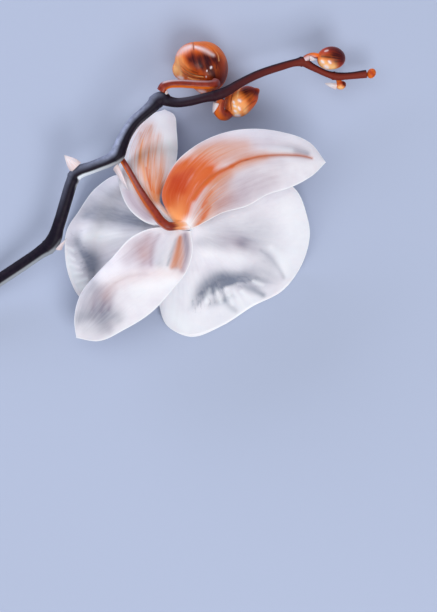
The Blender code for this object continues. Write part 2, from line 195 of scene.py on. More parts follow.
# %% [markdown]
# ## Curves
# A leaf's outline is a smooth curve through a few points, so one function turns a short list of
# points into a curve that can be read anywhere. Two more give the soft steps and the uneven waves
# that living tissue is full of. A spline object could do the first, but then we couldn't place our
# own rows of points on it.

# %% Curves and waves
WAVE_COUNT = 7
WAVE_SUM = 3.2  # seven waves rarely add up to more than this


def curve_through(points):
    """A smooth curve through the points, as a function of an array of values from 0 to 1."""
    knots = np.array(points, dtype=float)
    steps = np.linalg.norm(np.diff(knots[:, :3], axis=0), axis=1)
    places = np.concatenate(([0.0], np.cumsum(steps)))
    places /= places[-1]
    slopes = np.gradient(knots, places, axis=0)

    def at(t):
        t = np.atleast_1d(t)
        k = np.clip(np.searchsorted(places, t) - 1, 0, len(places) - 2)
        span = (places[k + 1] - places[k])[:, None]
        s = (t - places[k])[:, None] / span
        start = (1 + 2 * s) * (1 - s) ** 2 * knots[k] + s * (1 - s) ** 2 * span * slopes[k]
        end = s * s * (3 - 2 * s) * knots[k + 1] + s * s * (s - 1) * span * slopes[k + 1]
        return start + end

    return at


def wander(values, pitch, seed):
    """An irregular wave between about -1 and 1, with a mean wavelength of one pitch."""
    draw = np.random.default_rng(seed)
    total = np.zeros(np.shape(values))
    for factor in draw.uniform(0.55, 1.5, WAVE_COUNT):
        total = total + np.cos(2 * np.pi * (factor * values / pitch + draw.uniform()))
    return total / WAVE_SUM


def smooth_step(low_edge, high_edge, values):
    """0 below the low edge, 1 above the high edge and a smooth rise between them."""
    t = np.clip((values - low_edge) / (high_edge - low_edge), 0.0, 1.0)
    return t * t * (3 - 2 * t)


print("halfway up a soft step:", smooth_step(0.0, 1.0, np.array([0.25, 0.5, 0.75])))

# %% [markdown]
# ## Marks
# A crease, a vein or a flush of colour follows a line. A mark is such a line with a width: it is
# strong on the line and fades beside it. Marks dig or raise the surface, and the same marks tell
# the material where a colour goes, so relief and colour always agree; some of them paint shade
# into hollows and light onto ridges. We could paint an image instead, but marks keep their shape
# at any size.

# %% Marks
STROKE_STEPS = 40
STROKE_END, STROKE_SWELL = 0.8, 0.3  # a stroke is a little narrower at its ends


def stroke(line, width, strengths, places):
    """How strongly a mark lies on each place: its strength on the line, fading at its width."""
    path = curve_through(line)(np.linspace(0.0, 1.0, STROKE_STEPS))
    best = np.full(len(places), np.inf)
    along = np.zeros(len(places))
    for k, (a, b) in enumerate(zip(path, path[1:])):
        way = b - a
        t = np.clip((places - a) @ way / (way @ way), 0.0, 1.0)
        away = np.linalg.norm(places - a - t[:, None] * way, axis=1)
        nearer = away < best
        best[nearer] = away[nearer]
        along[nearer] = ((k + t) / (len(path) - 1))[nearer]
    strength = strengths[0] + (strengths[1] - strengths[0]) * along
    taper = STROKE_END + STROKE_SWELL * np.sin(np.pi * along)
    return strength * np.exp(-(best / (width * taper)) ** 2)


def paint(marks, places):
    """Relief in millimetres and one mask for each colour, from a list of marks."""
    relief = np.zeros(len(places))
    masks = {}
    for colour, width, depth, strengths, line in marks:
        cover = stroke(line, width, strengths, places[:, :len(line[0])])
        relief += depth * cover / max(strengths)
        masks[colour] = 1.0 - (1.0 - masks.get(colour, 0.0)) * (1.0 - np.clip(cover, 0.0, 1.0))
    return relief, masks


print("a mark 1 mm wide, 1 mm away:", stroke([(0, 0), (1, 0)], 1.0, (1, 1), np.array([[0.5, 1.0]])))

# %% [markdown]
# ## Growing a thin sheet
# A sepal or petal is a sheet of living tissue, about half a millimetre thick and thinner at its
# rim. A Solidify modifier could thicken a plane, but it can't thin the rim or lie flat on the
# table, so we place the upper and the lower skin ourselves, from a grid of points on the middle
# surface, and close them along the rim.

# %% Put a piece in the scene


def add_piece(name, places, faces, material, masks):
    """Make a mesh object from millimetre points, with one float attribute for each mask.

    It has the name of the solid that it stands for."""
    mesh = bpy.data.meshes.new(name)
    mesh.from_pydata(to_world(places).tolist(), [], faces)
    mesh.materials.append(material)
    for mask_name, values in masks.items():
        layer = mesh.attributes.new(mask_name, "FLOAT", "POINT")
        layer.data.foreach_set("value", np.asarray(values, dtype=np.float32))
    mesh.shade_smooth()
    mesh.update()
    piece = bpy.data.objects.new(name, mesh)
    bpy.context.scene.collection.objects.link(piece)
    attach(piece, "root")
    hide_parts(name)
    print(f"{name}: {sum(len(face) - 2 for face in faces)} triangles")


print("every piece rides on the body 'root' and replaces one solid")

# %% Build a thin sheet from a grid of points
PAINTS = ("flush", "deep", "vein", "peach", "mauve", "shade", "frill", "painted_light", "gold", "threads")
# The flower's face shows only a hint of the paints of its back, painted shade and light among them,
# and none of the painted shade between the frills.
FACE_SHARES = {**dict.fromkeys(PAINTS, 0.3), "frill": 0.0}


def grid_faces(rows, columns, offset, flip):
    """The four-sided faces of a grid whose first point has the number offset."""
    i, j = np.meshgrid(np.arange(rows - 1), np.arange(columns - 1), indexing="ij")
    a = (offset + i * columns + j).ravel()
    faces = np.stack((a, a + 1, a + columns + 1, a + columns), axis=1)
    return (faces[:, ::-1] if flip else faces).tolist()


def grid_normals(grid):
    """Unit normals of a grid of points, turned to look up."""
    normals = np.cross(np.gradient(grid, axis=0), np.gradient(grid, axis=1))
    normals /= np.linalg.norm(normals, axis=2)[:, :, None] + 1e-12
    return normals * (1.0 if normals[:, :, 2].sum() > 0 else -1.0)


def sheet(name, grid, thickness, material, masks):
    """A closed sheet around a grid of middle points; thickness is a number for each point."""
    rows, columns = grid.shape[:2]
    flip = np.cross(grid[1, columns // 2] - grid[0, columns // 2],
                    grid[rows // 2, 1] - grid[rows // 2, 0])[2] > 0
    half = grid_normals(grid) * thickness[:, :, None] / 2
    upper, lower = grid + half, grid - half
    upper[:, :, 2] = np.maximum(upper[:, :, 2], thickness)
    lower[:, :, 2] = np.maximum(lower[:, :, 2], 0.0)
    count = rows * columns
    faces = grid_faces(rows, columns, 0, flip) + grid_faces(rows, columns, count, not flip)
    numbers = np.arange(count).reshape(rows, columns)
    rim = np.concatenate((numbers[0, :-1], numbers[:-1, -1], numbers[-1, :0:-1],
                          numbers[:0:-1, 0]))
    for a, b in zip(rim, np.roll(rim, -1)):
        edge = (int(a), int(b), int(b) + count, int(a) + count)
        faces.append(edge if not flip else edge[::-1])
    both = {key: np.concatenate((values.ravel(), FACE_SHARES.get(key, 1.0) * values.ravel()))
            for key, values in masks.items()}
    places = np.concatenate((upper.reshape(-1, 3), lower.reshape(-1, 3)))
    add_piece(name, places, faces, material, both)


print("paints on a tepal:", ", ".join(PAINTS))

# %% [markdown]
# ## Living tepal
# Orchid sepals and petals look alike, so botanists call them tepals. The tissue grew as a few
# layers of water-filled cells under a thin cuticle. It is matt to satin and lets light into it.
# A plain white would look like paper. So this material starts from a cool white and lays thin
# washes over it, where the marks say, with streaks along the veins. The grey in its hollows and
# between its frills is painted shade, the mauve there is partly its pink tone and partly painted
# shade, and the bright washes on ridges and rims are painted light.

# %% Tepal: streaks along the veins
# Watery tissue has an IOR near 1.4. The cuticle is satin, and the cells carry light about half a
# millimetre, the red a little further than the blue.
tepal, tree, shader = new_material("living_tepal", {
    "Roughness": 0.52, "IOR": 1.4, "Specular IOR Level": 0.35, "Subsurface Weight": 0.3,
    "Subsurface Radius": (1.0, 0.8, 0.75), "Subsurface Scale": 0.5 * MM,
    "Sheen Weight": 0.06, "Sheen Roughness": 0.4})
masks = {name: add_node(tree, "Attribute", {"attribute_name": name}).outputs["Fac"]
         for name in (*PAINTS, "rim", "along", "across")}

# The veins run from base to tip, so this pattern is stretched along them: "across" counts the
# veins and "along" is in millimetres. A streak is about one vein wide and 12 mm long.
STREAK_LENGTH = 12.0
down_vein = add_node(tree, "Math", {"operation": "MULTIPLY", 1: 1 / STREAK_LENGTH},
                     {0: masks["along"]})
vein_space = add_node(tree, "CombineXYZ", {}, {"X": masks["across"], "Y": down_vein})
streaks = add_node(tree, "TexNoise", {"Scale": 1.0, "Detail": 3.0, "Roughness": 0.6},
                   {"Vector": vein_space})
streak_bands = add_node(tree, "MapRange", {"From Min": 0.32, "From Max": 0.68, "To Min": 0.82,
                                           "To Max": 1.12}, {"Value": streaks})
soft_bands = add_node(tree, "MapRange", {"From Min": 0.3, "From Max": 0.7, "To Min": 0.76,
                                         "To Max": 1.12}, {"Value": streaks})
fine_streaks = add_node(tree, "TexNoise", {"Scale": 2.7, "Detail": 4.0, "Roughness": 0.65},
                        {"Vector": vein_space})
fine_bands = add_node(tree, "MapRange", {"From Min": 0.52, "From Max": 0.75, "To Min": 0.0,
                                         "To Max": 0.22}, {"Value": fine_streaks})
streaky = {name: add_node(tree, "Math", {"operation": "MULTIPLY", "use_clamp": True},
                          {0: masks[name], 1: streak_bands})
           for name in ("peach", "mauve", "shade")}
for name, start, stop in (("flush", 0.08, 0.8), ("deep", 0.1, 1.0)):
    banded = add_node(tree, "Math", {"operation": "MULTIPLY"}, {0: masks[name], 1: soft_bands})
    streaky[name] = add_node(tree, "MapRange", {
        "interpolation_type": "SMOOTHSTEP", "From Min": start, "From Max": stop, "To Min": 0.0,
        "To Max": 0.96}, {"Value": banded})
print("streaked paints:", ", ".join(streaky))

# %% Tepal: threads and frills
# Thin veins full of pigment show as separate threads beside the flush. They follow the veins like
# the streaks do, but half as wide and half as long again.
THREAD_STRETCH = 0.4
long_vein = add_node(tree, "Math", {"operation": "MULTIPLY", 1: THREAD_STRETCH / STREAK_LENGTH},
                     {0: masks["along"]})
thread_space = add_node(tree, "CombineXYZ", {}, {"X": masks["across"], "Y": long_vein})
thread_noise = add_node(tree, "TexNoise", {"Scale": 1.7, "Detail": 1.5}, {"Vector": thread_space})
thread_lines = add_node(tree, "MapRange", {
    "interpolation_type": "SMOOTHSTEP", "From Min": 0.45, "From Max": 0.68, "To Min": 0.0,
    "To Max": 1.0}, {"Value": thread_noise})
threads = add_node(tree, "Math", {"operation": "MULTIPLY", "use_clamp": True},
                   {0: thread_lines, 1: masks["threads"]})

# A crimped rim gets painted shade between its folds. The frill mask fades out from the crest of
# the fold; adding the fine streaks to it before a step makes it end in uneven tongues.
frill_noise = add_node(tree, "MapRange", {"From Min": 0.40, "From Max": 0.60, "To Min": -0.38,
                                          "To Max": 0.38}, {"Value": fine_streaks})
frill_sum = add_node(tree, "Math", {"operation": "ADD"}, {0: masks["frill"], 1: frill_noise})
frill_painted_shade = add_node(tree, "MapRange", {"From Min": 0.39, "From Max": 1.0, "To Min": 0.0,
                                         "To Max": 0.84}, {"Value": frill_sum})

# The tissue is cloudy: faint darker patches a few millimetres wide.
CLOUD = 7.0
table_space = add_node(tree, "TexCoord").outputs["Object"]
clouds = add_node(tree, "TexNoise", {"Scale": 1 / (CLOUD * MM), "Detail": 3.0},
                  {"Vector": table_space})
cloud_share = add_node(tree, "MapRange", {"From Min": 0.4, "From Max": 0.75, "To Min": 0.0,
                                          "To Max": 0.35}, {"Value": clouds})
print("nodes so far:", len(tree.nodes))

# %% Tepal: washes, grain and folds
# Each wash: its colour, and the mask that says where it lies. The two 7C8294 washes are painted
# shade, in hollows and between the frills; the B09DAA mauve is partly the tissue's pink tone and
# partly painted shade in hollows; F6F7FB is painted light on ridges and bright zones. The rim is
# clear, pale tissue with a painted rim light; the threads and the flush lie over it.
WASHES = [
    ("CBC3D0", cloud_share), ("D3C8D6", fine_bands), ("B09DAA", streaky["mauve"]),
    ("7C8294", streaky["shade"]), ("7C8294", frill_painted_shade), ("F6F7FB", masks["painted_light"]),
    ("CF855A", streaky["peach"]), ("FAFBFD", masks["rim"]), ("DC7E3C", threads),
    ("D05C10", streaky["flush"]), ("BC3C04", streaky["deep"]), ("B85E30", masks["vein"]),
    ("F6A768", masks["gold"]),
]
colour = add_node(tree, "RGB").outputs[0]
colour.default_value = srgb("EDEAF0")
for wash, mask in WASHES:
    colour = add_node(tree, "Mix", {"data_type": "RGBA", 7: srgb(wash)},
                      {0: mask, 6: colour}).outputs[2]
tree.links.new(colour, shader.inputs["Base Color"])

# The skin is a mosaic of cells that bulge a little. Real cells are 0.05 mm across, too fine to
# show, so the grain is drawn at 0.5 mm. The frills get a relief of their own.
GRAIN = 0.5
cells = add_node(tree, "TexNoise", {"Scale": 1 / (GRAIN * MM), "Detail": 2.0},
                 {"Vector": table_space})
cell_bump = add_node(tree, "Bump", {"Strength": 0.35, "Distance": 0.06 * MM}, {"Height": cells})
fold_height = add_node(tree, "Math", {"operation": "MULTIPLY"},
                       {0: fine_streaks, 1: masks["frill"]})
fold_bump = add_node(tree, "Bump", {"Strength": 0.8, "Distance": 1.2 * MM, "invert": True},
                     {"Height": fold_height, "Normal": cell_bump})
tree.links.new(fold_bump.outputs[0], shader.inputs["Normal"])
print("washes on the tepals:", len(WASHES))

# %% [markdown]
# ## Sepals
# The three sepals wrapped the flower when it was a bud. Each is a pointed blade with a midrib. We
# draw the left margin, the midrib and the right margin as curves, and join them across with an
# arch. Veins run side by side from base to tip, so they follow the same rows. A sculpted plane
# would look much the same, but could not be changed with a few numbers.

# %% Relief, rim and thickness of any tepal
MIDDLE_THICKNESS, RIM_THICKNESS = 0.8, 0.25
THINNING = 2.5  # the tissue thins over this distance from the rim
RIPPLE_REACH, RIPPLE_LENGTH = 1.6, 6.0
RIM_WIDTH, RIM_STRENGTH = 0.28, 0.75


def finish_sheet(name, grid, marks, rim_distance, veins, along, across, ripple, skin,
                 folds=None):
    """Add relief, veins and a rippled rim to a grid of middle points, then build the sheet."""
    relief, masks = paint(marks, grid.reshape(-1, 3))
    inner = 1.0 - np.exp(-rim_distance / THINNING)
    ridges = wander(across, 1.0, 3) * veins * inner
    waves = ripple * np.exp(-rim_distance / RIPPLE_REACH) * wander(along, RIPPLE_LENGTH, 4)
    grid = grid.copy()
    grid[:, :, 2] += relief.reshape(grid.shape[:2]) * inner + ridges + waves
    layers = {mask: np.zeros(along.size) for mask in PAINTS}
    layers.update(masks)
    for mask, values in (folds or {}).items():
        layers[mask] = np.clip(layers[mask] + values.ravel(), 0.0, 1.0)
    # The rim mask brightens the margin: its thinner, paler tissue, with a painted rim light over
    # it.
    layers["rim"] = RIM_STRENGTH * np.exp(-(rim_distance / RIM_WIDTH) ** 2)
    layers["along"] = along
    layers["across"] = across
    thickness = RIM_THICKNESS + (MIDDLE_THICKNESS - RIM_THICKNESS) * inner
    sheet(name, grid, thickness, skin, layers)


# %% Sepal builder
SEPAL_ROWS, SEPAL_COLUMNS = 150, 110
NEAR_TIP = 0.997  # the margins meet at the tip, so the last row stops just before it
SEPAL_RIPPLE = 0.12
VEIN_HEIGHT, FULL_WIDTH = 0.035, 18.0  # veins are lower where a sepal is narrow


def sepal(name, margins, marks, vein_count, skin=tepal):
    """A sepal from its two margins and its midrib, with marks. The lip is made the same way."""
    t = np.sin(0.5 * np.pi * np.linspace(0.0, NEAR_TIP, SEPAL_ROWS))
    left, middle, right = (curve_through(margins[edge])(t)[:, None, :]
                           for edge in ("left", "midrib", "right"))
    v = np.sin(0.5 * np.pi * np.linspace(-1.0, 1.0, SEPAL_COLUMNS))[None, :, None]
    grid = middle + v * (right - left) / 2 + v * v * ((left + right) / 2 - middle)
    width = np.linalg.norm(right - left, axis=2)
    length = np.linalg.norm(np.diff(middle[:, 0], axis=0), axis=1).sum()
    along = np.repeat((t * length)[:, None], SEPAL_COLUMNS, axis=1)
    rim_distance = np.minimum((1.0 - np.abs(v[:, :, 0])) * width / 2,
                              (1.0 - t[:, None]) * length)
    across = np.repeat(v[:, :, 0] * vein_count / 2, SEPAL_ROWS, axis=0)
    veins = VEIN_HEIGHT * np.minimum(width / FULL_WIDTH, 1.0)
    finish_sheet(name, grid, marks, rim_distance, veins, along, across, SEPAL_RIPPLE, skin)


print("a sepal has", SEPAL_ROWS * SEPAL_COLUMNS, "points on each side")

# %% [markdown]
# ### The dorsal sepal
# It points to the lower left here. A raised keel runs down its middle between two hollows, and a
# soft crease bends across it halfway.

# %% Dorsal sepal
DORSAL_SEPAL = {
    "left": [(-4.6, 0, 28.2), (-11.5, -0.5, 27.2), (-18.1, -3.6, 25.5), (-24.2, -10.1, 23.6),
             (-29.9, -15.9, 21), (-35.3, -22.6, 17.8), (-37.6, -31.6, 14.2), (-37, -37.4, 11.6)],
    "midrib": [(-0.8, -1, 28.8), (-4.7, -7.4, 28.5), (-10, -12.9, 26.4), (-17.6, -16.9, 25.5),
               (-24.4, -20.9, 23), (-30, -27.5, 18.8), (-34.6, -34, 14.4), (-37, -37.4, 11.6)],
    "right": [(2, -1.2, 28.4), (2.9, -7.5, 28.2), (1, -14.4, 26.5), (-4.1, -21.1, 24),
              (-11.1, -28.6, 20.8), (-20.2, -34.4, 17), (-29.9, -38.5, 13.2), (-37, -37.4, 11.6)],
}
# Each mark: its paint, its half-width and depth in millimetres, its strength at both ends, its
# line.
DORSAL_MARKS = [
    # the hollow on its left, near the base, in mauve tone and painted shade
    ("mauve", 3.6, -1.2, (0.7, 0.75), [(-12, -3.6), (-13.5, -7), (-13, -11.4)]),
    ("mauve", 4, -0.4, (0.55, 0.5), [(-15.6, -7), (-19, -10.6)]),
    ("peach", 3, 0, (0.1, 0.22), [(-12, -4.6), (-13.5, -9)]),
    ("mauve", 1, -0.3, (0.5, 0.8), [(-8.4, -2.6), (-10.4, -6), (-11.2, -12.6)]),
    # the raised keel, tinted with painted shade, and a dark line of painted shade beside it
    ("shade", 2.4, 0.8, (0.12, 0.34), [(-5, -3.4), (-6.9, -7.2), (-8.1, -11.6)]),
    ("shade", 0.7, -0.2, (0.3, 0.55), [(-2.6, -4), (-3.7, -7), (-5.6, -12.6)]),
    # peach veins, and mauve folds with painted shade, on its right near the base
    ("peach", 0.9, -0.1, (0.7, 0.7), [(-1.4, -3.4), (-2, -6.6), (-2.9, -10), (-4.2, -13.4)]),
    ("peach", 1.3, -0.2, (0.4, 0.65), [(-1.2, -4.8), (-1.7, -8), (-2.8, -12.8)]),
    ("vein", 0.6, 0, (0.4, 0.1), [(-1.2, -3.2), (-1.9, -7), (-2.6, -11.6)]),
    ("mauve", 1.8, 0, (0.7, 0.8), [(-1, -4), (-2, -8), (-3, -13)]),
    ("peach", 0.9, 0, (0.2, 0.6), [(-0.8, -6.6), (-0.8, -9.6), (-1.3, -13.4)]),
    ("mauve", 1.5, -0.2, (1, 0.9), [(0.3, -2.6), (0.8, -6.4), (0.6, -10), (-0.6, -14.4)]),
    ("shade", 0.9, 0, (0.4, 0.2), [(0.5, -3), (0.9, -7), (0.6, -11.6)]),
    # the soft crease across it
    ("peach", 2.4, 0, (0.14, 0.14), [(-2.1, -15.4), (-9.6, -15.6), (-17.6, -17), (-23.4, -19),
        (-26.6, -23)]),
    ("mauve", 0.7, -0.15, (0.2, 0.25), [(-12.6, -15.9), (-18.6, -16.6), (-23, -18.6)]),
    # folds and hollows towards the tip, in mauve and painted shade
    ("mauve", 1.2, -0.3, (0.25, 1), [(-23.6, -19), (-26, -22), (-27.3, -25.4), (-28.2, -28.2)]),
    ("mauve", 1, -0.2, (0.15, 0.8), [(-22.6, -20.6), (-24.8, -24), (-25.6, -27.6)]),
    ("mauve", 0.9, -0.2, (0.2, 0.5), [(-26, -19), (-30, -23), (-31, -27.6)]),
    ("shade", 3.2, -0.4, (0.6, 0.5), [(-35.6, -30.8), (-31.6, -29.6), (-27.4, -29.6),
        (-23, -30.2)]),
    ("shade", 3.8, -0.1, (0.35, 0.5), [(-29.2, -21.6), (-28.2, -26.6), (-27.4, -31.6)]),
    ("mauve", 3.8, 0, (0.35, 0.4), [(-29, -21.6), (-28, -26.6), (-26.6, -31.6)]),
    ("mauve", 2.6, 0, (0.2, 0.4), [(-27.6, -20.6), (-29.6, -24.6), (-31, -29.6)]),
    ("shade", 1.8, 0, (0.4, 0.3), [(-30.6, -18.8), (-33.4, -23), (-35.2, -28.6)]),
    ("shade", 2.4, 0, (0.2, 0.3), [(-33.6, -34.6), (-26, -34.6)]),
    # painted light on a raised flank on its right
    ("painted_light", 3, 0.3, (0.5, 0.6), [(-16.6, -20.6), (-9.6, -20), (-3.8, -18)]),
]
sepal("dorsal_sepal", DORSAL_SEPAL, DORSAL_MARKS, 22)

# %% [markdown]
# ### The lateral sepals
# The right one is the showy one: its base is flushed deep orange, and one brown-orange vein runs
# to its tip. The left one dives under the stem, with tan streaks along its veins. They are built
# as the dorsal one is, and only the points and the marks differ.

# %% Right lateral sepal
LATERAL_SEPAL_RIGHT = {
    "left": [(-3.3, 1.3, 29), (-5.9, 5.7, 28), (-7.5, 10.6, 27.3), (-6.3, 15.3, 26.8),
             (-3.4, 21, 26.2), (3.4, 27.2, 25.6), (16.1, 32.5, 25), (31.4, 32.5, 23.6),
             (42.9, 28.4, 21.4), (47.9, 22.2, 20)],
    "midrib": [(0.7, 0.9, 29.6), (3, 8, 31.4), (6.1, 13, 32), (12.8, 19.4, 31.8),
               (22.2, 23.5, 30.4), (32.6, 24.6, 27.6), (42.2, 23.8, 23.6), (47.9, 22.2, 20)],
    "right": [(2.3, -0.8, 29.2), (6.5, 1.4, 29.4), (12.8, 4.7, 28.8), (21.2, 7.1, 28),
              (27.9, 10.9, 26.8), (36.1, 13.6, 25), (43.9, 18.1, 22.4), (47.9, 22.2, 20)],
}
RIGHT_MARKS = [
    # the orange flush at the base, deepest in its middle
    ("flush", 4.4, -0.2, (0.8, 1), [(-2.6, 5), (-4.2, 9.6), (-3.6, 14), (-1.4, 18.4)]),
    ("flush", 1.2, 0, (0.5, 0.5), [(-4.6, 5.4), (-6.2, 9.6), (-5, 13.6), (-3, 17)]),
    ("peach", 2, 0, (0.5, 0.5), [(-5.4, 7.6), (-6.4, 11.6), (-4.6, 16), (-1, 20.6)]),
    ("peach", 3, 0, (0.6, 0.4), [(6, 25), (12, 26.4), (20, 27.4)]),
    ("flush", 3.2, 0.2, (0.8, 0.85), [(0.2, 6), (1.4, 11), (4, 15), (8, 18)]),
    ("flush", 3, -0.2, (0.8, 0.3), [(0, 18.6), (4.6, 20.4), (10.4, 21.4)]),
    ("flush", 2, 0, (0.7, 0.15), [(5, 17.6), (8.4, 18.8), (11.6, 19.8)]),
    ("flush", 2.4, 0, (0.45, 0.15), [(1, 21), (6, 23.4), (11.6, 24.6)]),
    ("deep", 3.4, 0, (0.4, 1), [(-3, 7.6), (-3.6, 11.6), (-2.4, 15.4)]),
    ("deep", 2.8, 0, (0.8, 0.6), [(-0.8, 12.6), (0.6, 16.6), (2.6, 18.8)]),
    # threads and peach where the flush fades out
    ("threads", 3.4, 0, (1, 0), [(3, 18.6), (8.6, 22), (15, 23.6)]),
    ("peach", 3.4, 0, (0.75, 0.15), [(0, 21.6), (6, 24.2), (13, 25.6), (23, 26.4)]),
    ("peach", 2.8, 0, (0.6, 0.2), [(6, 20.4), (12, 22.6), (20, 24.6)]),
    # the golden start of the blade, with a painted highlight along its edge
    ("gold", 2.6, 0, (1, 0.15), [(-1.9, 2), (-1.7, 5), (-0.6, 9)]),
    ("gold", 1.2, 0, (0.5, 0.8), [(-4.6, 6), (-3.2, 3.6), (-2.2, 1.8)]),
    ("painted_light", 0.4, 0, (0.6, 0.9), [(-5, 5.4), (-3.6, 3.4), (-2.6, 2)]),
    # the brown-orange vein in two stretches, with flush beside it
    ("vein", 0.6, -0.5, (0.2, 0.9), [(2.4, 7.4), (4.5, 12), (7, 15), (10.4, 17.6), (12.9, 18.8),
        (15.9, 20.3), (18.8, 21.8), (21.3, 22.6)]),
    ("flush", 1.1, 0, (0.7, 0.75), [(3.4, 9.4), (6.2, 13.6), (9.4, 16.6), (12.9, 18.7),
        (15.9, 20.3)]),
    ("flush", 0.8, 0, (0.8, 0.3), [(15.9, 20.3), (18.8, 22), (21.6, 23), (26, 24.1)]),
    ("vein", 0.7, -0.5, (0.85, 0.8), [(21.3, 22.6), (26.4, 23.8), (30.7, 24.2), (34.9, 24.3),
        (39.1, 24.1), (43, 23.4)]),
    # peach and mauve beside the vein and on the flank by the right petal
    ("peach", 1.5, 0, (0.8, 0.2), [(8, 14.6), (15, 18.8), (22.5, 22.4), (30, 24)]),
    ("peach", 2.1, -0.2, (0.85, 0.6), [(4.6, 0.6), (6.9, 4), (8, 7.6), (9.4, 11)]),
    ("flush", 1.2, 0, (0.4, 0.3), [(4.8, 1.2), (6.6, 4.4), (7.8, 8)]),
    ("peach", 3.6, 0, (0.35, 0.35), [(12.4, 14.6), (12.6, 9.6), (10.6, 5.6)]),
    ("peach", 2.2, 0, (0.2, 0.5), [(3.6, 4.4), (6.4, 9.6), (10, 14), (15, 17.4)]),
    ("peach", 2, 0, (0.5, 0.5), [(17, 20.6), (21.6, 22.6), (27, 23.8)]),
    ("mauve", 3.6, 0, (0.6, 0.6), [(5, 5), (8, 10.6), (13, 16)]),
    ("mauve", 2.6, 0, (0.5, 0.3), [(11, 22.6), (20, 24), (32, 22.6)]),
    ("threads", 2.8, 0, (0.6, 0.8), [(4.6, 2.6), (7.4, 8), (11, 13)]),
    ("flush", 0.7, -0.1, (0.5, 0.4), [(6, 6.6), (7.6, 9.6), (9.4, 12)]),
    ("flush", 0.7, -0.1, (0.6, 0.4), [(6.2, 2.9), (7.6, 4.9), (9, 7)]),
    # hollows along both margins in mauve tone and painted shade, and painted shade near the tip
    ("mauve", 2.8, -0.2, (0.3, 0.45), [(5.6, 26.6), (12.2, 28), (20.2, 28.4), (28.3, 27.8),
        (36.4, 25.9), (40.5, 24.6)]),
    ("mauve", 5, -0.6, (0.95, 0.5), [(11.6, 8), (16.2, 9.6), (22, 12.6), (29, 15.6)]),
    ("mauve", 5, 0, (0.4, 0.15), [(14, 15), (22, 18.4), (32, 20.2)]),
    ("shade", 1.4, -0.5, (0.05, 0.5), [(27.2, 26.4), (32.3, 26.6), (37.6, 26.2), (41.6, 25)]),
    # painted light on raised ridges at the base and near the tip
    ("painted_light", 0.8, 0.3, (1, 0.1), [(0.6, 1), (2.2, 4.4), (3.2, 6.6)]),
    ("painted_light", 0.6, 0.2, (1, 0.1), [(1.7, 0.2), (3.6, 2.6), (4.8, 4.8)]),
    ("painted_light", 0.4, 0, (0.9, 0), [(-0.2, 1.4), (0.6, 4.2), (1.6, 7)]),
    ("painted_light", 1.4, 0.4, (0.1, 0.5), [(23.6, 25.4), (30.6, 26), (36, 25.7)]),
]
sepal("lateral_sepal_right", LATERAL_SEPAL_RIGHT, RIGHT_MARKS, 26)

